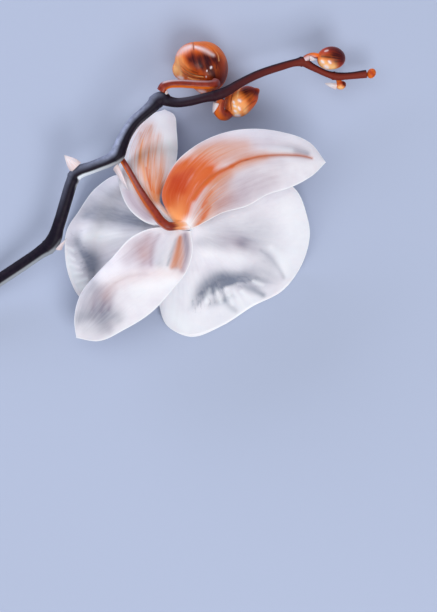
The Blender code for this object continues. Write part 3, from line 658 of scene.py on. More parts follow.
# %% Left lateral sepal
LATERAL_SEPAL_LEFT = {
    "left": [(-3.4, 0.7, 27.9), (-11.5, 1.1, 25.2), (-18, 5.6, 21.8), (-22, 13.9, 17.4),
             (-21.8, 24.8, 11.4), (-17.2, 33.8, 6.6), (-12, 39.4, 2.8), (-7, 41.4, -0.4)],
    "midrib": [(-3, 1.5, 28), (-8.1, 5.1, 27.4), (-12.6, 12.1, 24.6), (-13.7, 20.4, 20.2),
               (-13.1, 28, 15), (-10.9, 35.4, 8.2), (-8.4, 39.7, 3), (-7, 41.4, -0.4)],
    "right": [(-1.6, 2.2, 27.4), (-5.3, 5.3, 26), (-8.2, 8.9, 25), (-7.8, 11.8, 24.2),
              (-4.6, 16.4, 22), (-2.7, 23.4, 16.8), (-2.8, 33.5, 8.8), (-3.8, 39.4, 3.4),
              (-7, 41.4, -0.4)],
}
LEFT_MARKS = [
    # peach along the middle, with painted light and mauve on its left
    ("peach", 3.6, 0, (0.45, 0.8), [(-12.6, 34), (-13.2, 27), (-12.4, 18), (-10.4, 10)]),
    ("painted_light", 2.2, 0, (0.3, 0.7), [(-19, 28), (-20, 20), (-19, 15)]),
    ("mauve", 3.4, 0, (0.3, 0.8), [(-18.6, 14), (-15.6, 8.6), (-11.6, 4)]),
    ("painted_light", 1.2, 0, (0.8, 0.9), [(-14.4, 16), (-12.8, 12.4), (-10.6, 9), (-8.6, 6.8)]),
    # tan streaks along the veins
    ("threads", 3.6, 0, (0.7, 1), [(-13.6, 33), (-14, 24.2), (-12, 16), (-10.2, 9.6)]),
    ("threads", 2.6, 0, (0.3, 0.9), [(-9, 30), (-9.6, 22), (-9, 14), (-9.4, 9)]),
    ("peach", 0.7, -0.1, (0.4, 0.6), [(-15, 32.4), (-15, 24.2), (-12.8, 18.2), (-11, 12.3)]),
    ("peach", 0.6, -0.1, (0.35, 0.4), [(-11.4, 35), (-12.2, 27.6), (-11.2, 20), (-10.6, 14)]),
    ("gold", 0.6, 0, (0.3, 0.5), [(-14.2, 30), (-14.6, 22.6), (-13, 16)]),
    ("flush", 0.35, 0, (0.7, 0.6), [(-12.9, 20.4), (-12.2, 16.4), (-11, 12.2)]),
    ("flush", 0.3, 0, (0.5, 0.4), [(-11.9, 19.6), (-11.2, 15.6), (-10.2, 11.6)]),
    # painted light on its right and at its tip, with a peach hollow
    ("painted_light", 2.6, 0, (0.9, 0.7), [(-5.6, 30), (-5.2, 24), (-5.4, 17)]),
    ("peach", 2.8, -0.2, (0, 0.8), [(-6.6, 27), (-7, 21), (-7.3, 16), (-8.8, 9.6)]),
    ("flush", 1.4, 0, (0.1, 0.6), [(-7.2, 20), (-8, 16), (-8.8, 11.6)]),
    ("peach", 1.8, 0, (0.2, 0.7), [(-8, 19), (-8.6, 15), (-8.8, 11)]),
    ("painted_light", 4, 0, (1, 0.4), [(-8, 38), (-9.6, 32), (-8, 25)]),
    # painted light on a raised ridge by its left margin
    ("painted_light", 1, 0.3, (0.9, 0.1), [(-21.4, 18.6), (-18.4, 14.6), (-15.6, 10.6)]),
    # the narrow part beside the stalk, down to the heart, with painted light, peach and gold
    ("painted_light", 2, 0, (0.3, 0.9), [(-10.6, 9.6), (-8, 6.6), (-5.6, 4.2), (-3, 2.4)]),
    ("peach", 1, 0, (0.6, 0.5), [(-7.6, 7.4), (-5.6, 5), (-3.4, 3)]),
    ("gold", 0.4, 0, (0.3, 0.9), [(-7.8, 6.2), (-5.2, 4.1), (-3, 2.6)]),
    # folds on its left and a peach tint over its middle
    ("peach", 0.9, -0.1, (0.4, 0.7), [(-18.4, 17.2), (-15.6, 12), (-12.8, 7.6), (-10.2, 3.6)]),
    ("mauve", 1.8, -0.2, (0.6, 0.5), [(-19.4, 12.6), (-16.4, 7.6), (-13, 3.8)]),
    ("peach", 2, 0, (0.3, 0.4), [(-9, 31), (-9.6, 24), (-9.4, 17)]),
]
sepal("lateral_sepal_left", LATERAL_SEPAL_LEFT, LEFT_MARKS, 18)

# %% [markdown]
# ## Broad petals
# The two petals are fans: narrow at the claw that holds them, and rounded outside. Their veins
# spread like the ribs of a fan and fork on the way, so we build them as rays from claw to rim.
# Near the rim the tissue is crimped: the crimps raise it, and painted shade darkens it between the
# frills. A cloth simulation could crimp it too, but the folds would fall where the solver puts
# them.

# %% Crimps
# CRIMP_SHADE and CRIMP_END set the painted shade on a crimp's dark side.
CRIMP_SHADE = 0.9
CRIMP_END = 1.4  # the dark side of a crimp ends this softly
FRILL_START, FRILL_FULL = -1.0, 0.5  # where the frills start and are full, past the crest
CRIMP_SLOPE = 9.0  # past its crest a crimp sinks back over this distance


def crimp(shape, j, r, reach):
    """The shade, frill and height of one crimp; distances past its crest are in millimetres."""
    crest, height, soft, plateau, frill = shape
    round_fan, out, strong = np.array(crest).T
    strength = np.interp(j, round_fan, strong, left=0.0, right=0.0)[None, :]
    past = (r - np.interp(j, round_fan, out)[None, :]) * reach
    fade = np.where(past < 0, past / soft, np.maximum(past - plateau, 0.0) / CRIMP_END)
    shade = CRIMP_SHADE * strength * np.exp(-fade * fade)
    frills = strength * smooth_step(FRILL_START, FRILL_FULL, past) * np.clip(1 - past / frill, 0, 1)
    step = smooth_step(-soft, soft, past) * np.exp(-np.maximum(past, 0.0) / CRIMP_SLOPE)
    return shade, frills, strength * height * step


print("a crimp sinks back over", CRIMP_SLOPE, "mm")

# %% Petal builder
PETAL_RINGS, PETAL_RAYS = 170, 230
CLAW_SKIP = 0.04  # the first and last rays meet the outline this far from its ends
PETAL_VEIN, PETAL_RIPPLE = 0.03, 0.10  # heights in millimetres
SIDE_SPREAD = 2.6  # how far apart the fan's sides are, for each millimetre out from the claw
RAY_BEND = 0.006


def petal(name, shape, marks, crimps, vein_count):
    """A fan-shaped petal with forked veins, marks and crimps towards parts of its rim."""
    r = np.linspace(0.0, 1.0, PETAL_RINGS)[:, None]
    j = np.linspace(0.0, 1.0, PETAL_RAYS)
    claw = curve_through(shape["claw"])(j)[None, :, :]
    outline = [shape["claw"][0], *shape["rim"], shape["claw"][-1]]
    rim = curve_through(outline)(CLAW_SKIP + (1 - 2 * CLAW_SKIP) * j)[None, :, :]
    grid = claw + r[:, :, None] * (rim - claw)
    # A soft crown lifts the middle of the fan.
    grid[:, :, 2] += shape["crown"] * 4 * r * (1 - r) * np.sin(np.pi * j)[None, :]
    reach = np.linalg.norm(rim - claw, axis=2)
    along = r * reach
    sides = np.minimum(j, 1 - j)[None, :] * SIDE_SPREAD * along
    rim_distance = np.minimum((1 - r) * reach, sides + 0.02)
    # The veins bend a little, each in its own way. They rise past the claw and fork further out.
    across = (j[None, :] + RAY_BEND * np.sin(7.0 * r + 23.0 * j[None, :])) * vein_count
    grid[:, :, 2] += PETAL_VEIN * wander(across, 1.0, 5) * smooth_step(0.08, 0.3, r)
    grid[:, :, 2] += PETAL_VEIN * wander(across, 0.5, 6) * smooth_step(0.3, 0.6, r)
    folds = {"shade": np.zeros(along.shape), "frill": np.zeros(along.shape)}
    for one in crimps:
        shade, frills, height = crimp(one, j, r, reach)
        folds["shade"] += shade
        folds["frill"] += frills
        grid[:, :, 2] += height
    finish_sheet(name, grid, marks, rim_distance, 0.0, along, across, PETAL_RIPPLE,
                 tepal, folds)


print("a petal has", PETAL_RINGS * PETAL_RAYS, "points on each side")

# %% [markdown]
# ### The left petal
# Most of it shows between the stem and the dorsal sepal. Painted shade darkens it under the stalk,
# and its outer rim is gently crimped.

# %% Left petal
PETAL_LEFT = {
    "claw": [(-2.2, 1.5, 26.1), (-2.7, 0.1, 26.2), (-2.3, -1.3, 26.1)],
    "rim": [(-8.2, 6.6, 22), (-15.8, 14, 15.4), (-22.8, 18.3, 11), (-30.1, 14.3, 8.2),
            (-36.7, 5.9, 4.2), (-41, -0.9, 0.4), (-41.5, -8.5, -0.8), (-39.9, -16.8, -0.8),
            (-36.4, -23.4, -0.4), (-30, -26.5, 2), (-20.5, -21, 8.4), (-11.7, -12.2, 16.4),
            (-5.8, -5.2, 22.6)],
    "crown": 3,
}
PETAL_LEFT_MARKS = [
    # painted shade in the hollow across its upper part
    ("shade", 3.4, -1, (0.82, 0.8), [(-33.4, 5.2), (-28.2, 5), (-24, 4.6), (-19.8, 3.9),
        (-13.6, 2)]),
    ("shade", 1.4, -0.4, (0.2, 0.5), [(-31, 3.2), (-27, 2.9), (-21, 2.2), (-16, 1.4)]),
    ("shade", 5, 0, (0.4, 0.5), [(-30, 9), (-25, 11), (-18.6, 9.4)]),
    ("shade", 5, 0, (0.2, 0.2), [(-36, 6), (-28, 15)]),
    # painted light on a raised fold below it, with faint painted shade between
    ("painted_light", 2.6, 0.9, (0.2, 0.9), [(-11.8, -2.6), (-18.7, -3.2), (-25.5, -2.6), (-33.6, -2.6)]),
    ("shade", 1.8, 0, (0.4, 0.25), [(-12, 0), (-20, -0.2), (-28, 0.4)]),
    # a band of painted shade inside the rim
    ("shade", 3.4, -0.4, (0.4, 0.5), [(-37.4, -5), (-35.4, -8.6), (-32.4, -12.6), (-30.6, -17)]),
    ("shade", 3, -0.3, (0.35, 0.1), [(-32.6, -10.6), (-30, -11.6), (-27.6, -11)]),
    # painted light on raised ribs across that band and along the rim
    ("painted_light", 0.55, 0.4, (1, 0.7), [(-40.8, -6), (-38.4, -7.6)]),
    ("painted_light", 0.5, 0.4, (1, 0.7), [(-40.4, -9.4), (-37.8, -10.8)]),
    ("painted_light", 0.6, 0.4, (1, 0.7), [(-39.8, -12.6), (-36.6, -13.2)]),
    ("painted_light", 0.45, 0.4, (1, 0.7), [(-38.8, -15.6), (-35.2, -15.2)]),
    ("painted_light", 0.6, 0.4, (1, 0.7), [(-37.4, -18.6), (-33.6, -17.2)]),
    ("painted_light", 1.4, 0, (0.7, 0.9), [(-40.4, -8), (-39.2, -14), (-35.8, -20.6)]),
    ("painted_light", 1.6, 0, (0.3, 0.9), [(-37.6, -13), (-36.2, -18), (-33.2, -22)]),
]
# Each crimp: its crest as places round the fan and out from the claw, with its strength there,
# then its height, how softly it starts, how wide its dark side of painted shade is and how long
# its frills are, all in millimetres.
PETAL_LEFT_CRIMPS = [
    ([(0.42, 0.84, 0), (0.46, 0.85, 0.3), (0.5, 0.8, 0.45), (0.54, 0.76, 0.5), (0.58, 0.77, 0.35),
      (0.62, 0.82, 0)], 0.5, 4.4, 2, 7),
]
petal("petal_left", PETAL_LEFT, PETAL_LEFT_MARKS, PETAL_LEFT_CRIMPS, 26)

# %% [markdown]
# ### The right petal
# The largest piece. One long crimp with deep frills, darkened by painted shade, runs across its
# lower half, and a few single folds cross it.

# %% Right petal
PETAL_RIGHT = {
    "claw": [(-0.4, -2.4, 26), (1.6, -1.6, 26.2), (2.3, 0.6, 26)],
    "rim": [(-4.2, -9.6, 20.6), (-8.1, -17.6, 13.2), (-8.6, -26.9, 5.4), (-6.1, -33.3, 0.8),
            (1.7, -37.1, -0.8), (12.8, -33.3, -0.8), (23.2, -26.7, -0.8), (34.1, -20.8, -0.6),
            (39.3, -14.1, 0.4), (42.1, -7.2, 3.8), (42.9, -1.1, 7.8), (41.9, 3.9, 11.8),
            (36.9, 13.9, 18), (29, 16.8, 21.2), (18.9, 13, 23.4), (9.7, 6.9, 24.8)],
    "crown": 3.4,
}
PETAL_RIGHT_MARKS = [
    # faint painted shade over its upper and right part
    ("shade", 5, 0, (0.2, 0.2), [(10, 0.6), (15, 0.6), (21, 1), (28, 0.6)]),
    ("shade", 5, 0, (0.25, 0.3), [(22, -3), (27, -6), (29, -11)]),
    # painted light on the lower left
    ("painted_light", 3.4, 0, (0.7, 0.9), [(-2, -17), (-4.6, -23), (-4.6, -29), (0, -34)]),
    ("painted_light", 2, 0, (0.5, 0.5), [(1, -20), (1, -25.6)]),
    # faint painted shade above the crimps
    ("shade", 2.4, 0, (0.1, 0.15), [(10.6, -17), (16, -15.6), (22, -16.4), (27, -18.6)]),
    # the hollow below the right lateral sepal, in painted shade and mauve
    ("shade", 2.2, 0, (0.3, 0.2), [(5, -5), (9, -5.4), (13, -5.6)]),
    ("shade", 3, -0.6, (0.1, 0.28), [(7.5, -3), (12.5, -3.4), (16.5, -3.8), (20, -4.8)]),
    ("shade", 2.6, -0.3, (0.28, 0), [(20, -4.8), (23.6, -5.8), (27, -7.6)]),
    ("mauve", 3.2, -0.3, (0.1, 0.6), [(9, -2.8), (14.5, -3.6), (19, -4.6)]),
    ("mauve", 2.6, 0, (0.6, 0), [(19, -4.6), (23, -5.8), (27, -7.6)]),
    # single folds on the right, with painted shade and painted light
    ("shade", 2.6, 0, (0.4, 0.2), [(21, -14.6), (26, -15.4), (31, -17)]),
    ("shade", 0.9, -0.4, (0.3, 0.55), [(26, -7.4), (29.4, -9.8), (32, -13), (34, -16.4)]),
    ("painted_light", 1.6, 0.3, (0.5, 0.6), [(29.6, -6.6), (33.6, -10.6), (35.6, -15)]),
    # painted light along the rim
    ("painted_light", 6, 0, (0.5, 0.6), [(2, -31), (12, -31), (24, -26.6)]),
    ("painted_light", 6, 0, (0.6, 0.6), [(36, -12), (38.5, -4), (36, 7)]),
    # painted shade in folds and painted light on ribs between the crimps
    ("shade", 1.3, -0.5, (0.5, 0.9), [(20.4, -19.4), (23.4, -20.6), (26.8, -22.6)]),
    ("shade", 0.5, -0.3, (0.6, 0.2), [(9.3, -20), (10.2, -25)]),
    ("shade", 0.5, -0.3, (0.6, 0.2), [(12.6, -20), (14, -24.6)]),
    ("shade", 1.2, -0.5, (0.4, 0.9), [(13.4, -24.6), (15.4, -26.4), (17.4, -28)]),
    ("shade", 1.8, 0, (0.35, 0.35), [(14, -18.2), (19, -19), (24, -20.4)]),
    ("painted_light", 0.8, 0.4, (0.3, 0.8), [(8.4, -20.6), (7.4, -25)]),
    ("painted_light", 0.8, 0.4, (0.3, 0.8), [(10.9, -20.6), (12.3, -25)]),
    ("painted_light", 0.9, 0.5, (0.5, 0.9), [(14.4, -20.6), (16.4, -25.6)]),
    ("painted_light", 0.7, 0.4, (0.5, 0.9), [(16.9, -21.2), (20.2, -27)]),
    ("painted_light", 0.8, 0.4, (0.8, 0.8), [(19.4, -21.4), (23.6, -25.4)]),
    ("painted_light", 0.7, 0.4, (0.7, 0.5), [(23.4, -17.8), (26.8, -19.2)]),
    # painted light on the soft swelling in the middle, and a mauve edge above
    ("painted_light", 2.4, 0.6, (0.3, 0.3), [(8, -9.4), (14.8, -10.4), (20.6, -10.4)]),
    ("mauve", 2.4, -0.2, (0.35, 0.1), [(6, 2.4), (13, 6), (20, 7.8)]),
]
PETAL_RIGHT_CRIMPS = [
    ([(0.27, 0.65, 0), (0.295, 0.63, 0.5), (0.32, 0.59, 0.9), (0.35, 0.56, 1), (0.4, 0.565, 1),
      (0.445, 0.6, 0.85), (0.475, 0.66, 0.6), (0.5, 0.75, 0.3),
      (0.515, 0.85, 0)], 0.7, 4.2, 2.8, 8),
    ([(0.325, 0.74, 0), (0.345, 0.73, 0.5), (0.37, 0.745, 0.7), (0.395, 0.76, 0.6),
      (0.42, 0.79, 0)], 0.4, 1.8, 0.8, 4),
]
petal("petal_right", PETAL_RIGHT, PETAL_RIGHT_MARKS, PETAL_RIGHT_CRIMPS, 34)

# %% [markdown]
# ## Stem and stalks
# A flowering stem turns at every node, where a bract and a stalk grow out, and swells a little
# there. A curve with a bevel would give one even tube, so we sweep a ring of points along the
# route ourselves and change its radius as it goes, with fine ribs and a raised scar ring at
# every node.

# %% Rings along a route
SCAR_WIDTH = 0.35


def tube_rings(route, rings, sides, ribs, scars):
    """Rings of points along a route, the way out at each, and the route's centres and tangents.

    A route's fourth value is the radius."""
    t = np.linspace(0.0, 1.0, rings)
    samples = curve_through(route)(t)
    centres, radii = samples[:, :3], samples[:, 3].copy()
    tangents = np.gradient(centres, axis=0)
    tangents /= np.linalg.norm(tangents, axis=1)[:, None]
    length = np.linalg.norm(np.diff(centres, axis=0), axis=1).sum()
    for place, height in scars:
        radii += height * np.exp(-((t - place) * length / SCAR_WIDTH) ** 2)
    side = np.cross(tangents[0], (0.0, 0.0, 1.0))
    turn = np.linspace(0.0, 2 * np.pi, sides, endpoint=False)
    swell = 1.0 + ribs[1] * np.cos(ribs[0] * turn)
    rows, outward = [], []
    for centre, radius, tangent in zip(centres, radii, tangents):
        side = side - tangent * (side @ tangent)
        side /= np.linalg.norm(side)
        out = np.cos(turn)[:, None] * side + np.sin(turn)[:, None] * np.cross(side, tangent)
        rows.append(centre + (radius * swell)[:, None] * out)
        outward.append(out)
    return np.concatenate(rows), np.concatenate(outward), centres, tangents


print("a scar ring is", SCAR_WIDTH, "mm wide")

# %% Sweep a tube along a route
START_BULGE, END_BULGE = 0.02, 0.35
NEVER_WHITE = 2.0  # beyond a stalk's end, which is at 1


def sweep(name, route, material, rings, sides, ribs, scars, colours,
          white_from=NEVER_WHITE, dents=()):
    """A closed stalk along its route, with a mask for each of its colours.

    Each colour: the way it faces, where it starts and is full as the skin turns to that way, and
    its strengths from the stalk's start to its end. A stalk is white from white_from on."""
    body, outward, centres, tangents = tube_rings(route, rings, sides, ribs, scars)
    for place, width, depth in dents:
        away = np.linalg.norm(body - np.array(place), axis=1)
        body -= outward * (depth * np.exp(-(away / width) ** 2))[:, None]
    body[:, 2] = np.maximum(body[:, 2], 0.0)
    numbers = np.arange(rings * sides).reshape(rings, sides)
    a, b = numbers[:-1], numbers[1:]
    faces = np.stack((a, np.roll(a, -1, 1), np.roll(b, -1, 1), b), axis=2).reshape(-1, 4).tolist()
    first, last = rings * sides, rings * sides + 1
    for k in range(sides):
        n = (k + 1) % sides
        faces.append((int(numbers[0, n]), int(numbers[0, k]), first))
        faces.append((int(numbers[-1, k]), int(numbers[-1, n]), last))
    ends = (centres[0] - tangents[0] * START_BULGE, centres[-1] + tangents[-1] * END_BULGE)
    share = np.concatenate((np.repeat(np.linspace(0.0, 1.0, rings), sides), (0.0, 1.0)))
    normals = np.concatenate((outward, -tangents[:1], tangents[-1:]))
    masks = {"cut": np.concatenate((np.zeros(len(body)), (1.0, 0.0)))}
    for mask, (way, start, full, strengths) in colours.items():
        facing = smooth_step(start, full, normals @ (np.array(way) / np.linalg.norm(way)))
        strength = np.interp(share, np.linspace(0.0, 1.0, len(strengths)), strengths)
        masks[mask] = facing * np.clip(strength, 0.0, 1.0)
    turn = np.linspace(0.0, 2 * np.pi, sides, endpoint=False)
    # The stalk turns rosy and then white over a sixth of its length, with an uneven border.
    fringe = 0.008 * np.cos(5 * turn) + 0.006 * np.cos(9 * turn + 1.0)
    whitening = share + np.concatenate((np.tile(fringe, rings), (0.0, 0.0))) - white_from
    masks["rosy"] = smooth_step(-0.05, 0.01, whitening)
    masks["white"] = smooth_step(0.01, 0.11, whitening)
    add_piece(name, np.concatenate((body, ends)), faces, material, masks)


print("a swept stalk starts and ends in bulges of", START_BULGE, "and", END_BULGE, "mm")

# %% [markdown]
# ### Dark stem
# The stem is firm and grew with a coat of plant wax. It is almost black with purple pigment, and
# the wax is matt, so it shines only softly. A shader for the wax alone would be a coat, but a coat
# shines too clearly, so the pale band on the flank that faces the far lamp is a painted highlight
# and the bright line along the lower edge is a painted rim light, both washes over the dark colour.

# %% Stem material
# Plant wax has an IOR near 1.45. Its surface is matt, so its roughness is 0.5 and its specular
# level is low.
stem_skin, tree, shader = new_material("waxy_purple_stem", {
    "Roughness": 0.5, "IOR": 1.45, "Specular IOR Level": 0.12})
stem_masks = {name: add_node(tree, "Attribute", {"attribute_name": name}).outputs["Fac"]
              for name in ("painted_highlight", "edge", "red", "cut")}
STEM_MOTTLE = 1.5  # millimetres between the darker spots
mottle = add_node(tree, "TexNoise", {"Scale": 1 / (STEM_MOTTLE * MM), "Detail": 4.0},
                  {"Vector": add_node(tree, "TexCoord").outputs["Object"]})
mottle_range = add_node(tree, "MapRange", {"From Min": 0.4, "From Max": 0.7, "To Min": 0.0,
                                           "To Max": 0.5}, {"Value": mottle})
# The painted highlight is broken up into patches by the mottle.
highlight_patches = add_node(tree, "MapRange", {"From Min": 0.35, "From Max": 0.65, "To Min": 1.0,
                                          "To Max": 0.7}, {"Value": mottle})
painted_highlight = add_node(tree, "Math", {"operation": "MULTIPLY"}, {0: highlight_patches, 1: stem_masks["painted_highlight"]})
colour = add_node(tree, "RGB").outputs[0]
colour.default_value = srgb("15111E")
# Washes: darker mottle, the painted highlight (AAB2CE), red-brown towards the tip, a painted rim
# light along the lower edge (EEF6FF) and the pale cut end.
for wash, mask in (("2A1D2B", mottle_range), ("AAB2CE", painted_highlight), ("7A2E22", stem_masks["red"]),
                   ("EEF6FF", stem_masks["edge"]), ("B9B48A", stem_masks["cut"])):
    colour = add_node(tree, "Mix", {"data_type": "RGBA", 7: srgb(wash)},
                      {0: mask, 6: colour}).outputs[2]
tree.links.new(colour, shader.inputs["Base Color"])
stem_bump = add_node(tree, "Bump", {"Strength": 0.3, "Distance": 0.05 * MM}, {"Height": mottle})
tree.links.new(stem_bump.outputs[0], shader.inputs["Normal"])
print("nodes in the stem's skin:", len(tree.nodes))

# %% The stem
SPIKE = [
    (-85.2, -31.85, 2, 2.25), (-74, -24.4, 4.5, 2.2), (-63.5, -17.4, 7, 2.15),
    (-56.5, -12.9, 9, 2.15), (-49.5, -8.2, 11.2, 2.2), (-46, -5.7, 12.6, 2.6),
    (-44.3, -3, 13.4, 2.5), (-43.4, -0.2, 14, 2.15), (-42.4, 2.8, 14.5, 2.1),
    (-40.3, 9.6, 15.8, 2.1), (-38.3, 15.6, 17, 2.15), (-36.9, 18.3, 17.6, 2.3),
    (-35.2, 19.3, 18.1, 2.25), (-32.1, 20.3, 18.8, 2.1), (-28.6, 21.6, 19.3, 2.1),
    (-25.6, 22.8, 19.8, 2.2), (-22.8, 24.6, 20.2, 2.5), (-21.7, 27.4, 20.4, 2.4),
    (-20.1, 31, 20.6, 2.15), (-17, 35.7, 20.8, 2.1), (-13.6, 38.8, 20.9, 2.1),
    (-10.8, 41.3, 21, 2.3), (-9, 43.2, 21, 2.6), (-7.2, 43.7, 21, 2.5), (-5.3, 42.9, 21, 1.85),
    (-2.8, 42.4, 21, 1.65), (0.9, 42.7, 21, 1.6), (7, 44.1, 20.8, 1.6), (11.1, 45, 20.5, 1.85),
    (14.1, 46.2, 20.2, 1.7), (18.9, 49.1, 19.4, 1.45), (25, 52.2, 18, 1.4),
    (32.5, 54.9, 16.2, 1.35), (38, 56.5, 14.6, 1.35), (40.8, 56.8, 13.8, 1.7),
    (42.8, 55.6, 13.2, 1.35), (45.4, 54.3, 12.5, 1.15), (48.7, 52.9, 11.8, 1.15),
    (52.1, 52.1, 11.2, 1.4), (55.2, 52.2, 10.8, 1.25), (62.2, 53, 9.8, 1.4),
]
spike_knots = np.array(SPIKE)
spike_steps = np.linalg.norm(np.diff(spike_knots[:, :3], axis=0), axis=1)
spike_places = np.concatenate(([0.0], np.cumsum(spike_steps))) / spike_steps.sum()
NODE_KNOTS = (5, 11, 16, 22, 28, 34, 38)
SCAR_HEIGHT = 0.18
SCAR_BACK = 0.006  # a scar lies just before its node, as a share of the stem's length
scars = [(spike_places[k] - SCAR_BACK, SCAR_HEIGHT) for k in NODE_KNOTS]
# The strengths are read at eleven places from the cut to the tip.
STEM_COLOURS = {
    # The first colour is a painted highlight on the flank that faces the far lamp; edge is a
    # painted rim light along the lower side.
    "painted_highlight": ((-0.88, 0.40, 0.25), 0.15, 0.85, (0, 0, 0, 0, 0.3, 1, 0.4, 0, 0, 0, 0)),
    "edge": ((0.20, -0.98, -0.05), 0.46, 0.68, (0.4, 0.4, 0.4, 0.3, 1, 0.1, 0, 0, 0, 0, 0)),
    "red": ((0.10, -0.60, 0.60), -0.3, 0.7, (0, 0, 0, 0, 0, 0, 0, 0.1, 0.5, 0.9, 1)),
}
sweep("spike_stem", SPIKE, stem_skin, 620, 48, (14, 0.012), scars, STEM_COLOURS)

# %% [markdown]
# ### Red stalks
# The stalk of each flower or bud is also its ovary, so it has six shallow ribs. Its skin is
# smooth, a little glossy and red-brown. The orange on the flank that faces the lamps is painted
# light, and a pale line along one side is a painted highlight. The open flower's stalk turns peach
# and then white where it joins the sepals.

# %% Stalk material
# Fresh, juicy skin: satin with a weak, clear coat, and red light travels furthest through it.
stalk_skin, tree, shader = new_material("red_ribbed_stalk", {
    "Roughness": 0.42, "Specular IOR Level": 0.3, "Subsurface Weight": 0.15,
    "Subsurface Radius": (1.0, 0.4, 0.2), "Subsurface Scale": 0.8 * MM, "Coat Weight": 0.1,
    "Coat Roughness": 0.2})
stalk_masks = {name: add_node(tree, "Attribute", {"attribute_name": name}).outputs["Fac"]
               for name in ("orange", "pale", "rosy", "white")}
STALK_MOTTLE = 1.2
mottle = add_node(tree, "TexNoise", {"Scale": 1 / (STALK_MOTTLE * MM), "Detail": 4.0},
                  {"Vector": add_node(tree, "TexCoord").outputs["Object"]})
mottle_range = add_node(tree, "MapRange", {"From Min": 0.4, "From Max": 0.7, "To Min": 0.0,
                                           "To Max": 0.5}, {"Value": mottle})
colour = add_node(tree, "RGB").outputs[0]
colour.default_value = srgb("8C2E1C")
# F07418 is painted light on the lit flank and D9C0C4 a painted highlight along one side; the rosy
# and white washes are the flower stalk's own end.
for wash, mask in (("4A0F10", mottle_range), ("F07418", stalk_masks["orange"]),
                   ("D9C0C4", stalk_masks["pale"]), ("EE9C62", stalk_masks["rosy"]),
                   ("F8F4F6", stalk_masks["white"])):
    colour = add_node(tree, "Mix", {"data_type": "RGBA", 7: srgb(wash)},
                      {0: mask, 6: colour}).outputs[2]
tree.links.new(colour, shader.inputs["Base Color"])
stalk_bump = add_node(tree, "Bump", {"Strength": 0.3, "Distance": 0.05 * MM}, {"Height": mottle})
tree.links.new(stalk_bump.outputs[0], shader.inputs["Normal"])
print("nodes in the stalks' skin:", len(tree.nodes))

# %% The stalks
STALKS = {
    "flower_pedicel": [(-22.4, 24.9, 18.6, 0.9), (-20.5, 22.1, 19.8, 0.95), (-18.3, 18.4, 22.5, 1),
                       (-15.6, 13.5, 26.5, 1.15), (-12.3, 8.3, 29.8, 1.35), (-9.7, 4.6, 31.6, 1.45),
                       (-7.3, 1.5, 32.5, 1.5), (-5.2, 0.2, 32.2, 1.45), (-3.4, 0.2, 31.2, 1.4),
                       (-1.8, 0.5, 30, 1.45), (-0.2, 0.8, 28.8, 1.8), (1.2, 1.1, 27.8, 2.1),
                       (2.6, 1.3, 27.2, 2), (3.8, 1.6, 26.6, 1.4), (4.6, 1.7, 26.2, 0.5)],
    "bud_large_pedicel": [(-7.7, 46.4, 22, 1.6), (-7, 47.7, 22.4, 1.5), (-5.5, 48.4, 22.2, 1.35),
                          (-2.1, 48.8, 21.4, 1.35), (1.9, 48.7, 20.4, 1.35), (6, 48.5, 20, 1.4),
                          (8.4, 48.5, 19.4, 1.45), (9.9, 48.7, 18, 1.6), (10.6, 49.4, 16.2, 1.7)],
    "bud_second_pedicel": [(12.4, 43.9, 19.4, 1.5), (11.7, 41.9, 19, 1.75), (11.7, 40, 18, 1.9),
                           (12.6, 38.7, 16.8, 1.9), (14, 38.5, 15.8, 1.8), (15.6, 39.6, 14.8, 1.7)],
    "bud_third_pedicel": [(41.2, 57.8, 14.6, 1.1), (42.6, 58.6, 15.2, 1), (44, 58.9, 15.2, 0.95),
                          (45.6, 58.7, 14.9, 0.9)],
}
# orange is painted light on the flank that faces the lamps; pale is a painted highlight along one
# side, and on the third bud's stalk partly its pale skin.
STALK_COLOURS = {
    "flower_pedicel": {"orange": ((-0.85, -0.55, 0.15), 0.35, 0.8, (1.5, -0.2)),
                       "pale": ((-0.7, -0.7, 0.1), 0.75, 1, (-1.6, 1.6))},
    "bud_large_pedicel": {"orange": ((0, -1, 0.15), 0.45, 0.9, (0.9, 0.9)),
                          "pale": ((0, 0.9, 0.5), 0.8, 0.98, (1.1, 0.1))},
    "bud_second_pedicel": {"orange": ((-0.5, -0.5, 0.5), 0.1, 1, (0.5, 0.9)),
                           "pale": ((-0.9, 0.1, 0.4), 0.75, 1, (0.9, 0.3))},
    "bud_third_pedicel": {"orange": ((0.3, 0.5, 0.6), -0.2, 0.9, (0.2, 1.2)),
                          "pale": ((-0.3, -0.8, 0.5), 0.1, 0.9, (1.6, -0.2))},
}
WHITE_FROM = {"flower_pedicel": 0.815}  # the other stalks have no white end
for name, route in STALKS.items():
    sweep(name, route, stalk_skin, 150, 36, (6, 0.035), [], STALK_COLOURS[name],
          WHITE_FROM.get(name, NEVER_WHITE))

# %% [markdown]
# ## Bracts
# A bract is the papery scale that guarded a node before its stalk grew. It hugs the stem and ends
# in a free point. It dried as it aged, so it is pale, thin and a little see-through, with
# lengthwise nerves. It is a curved sheet, so the sheet builder makes it too.

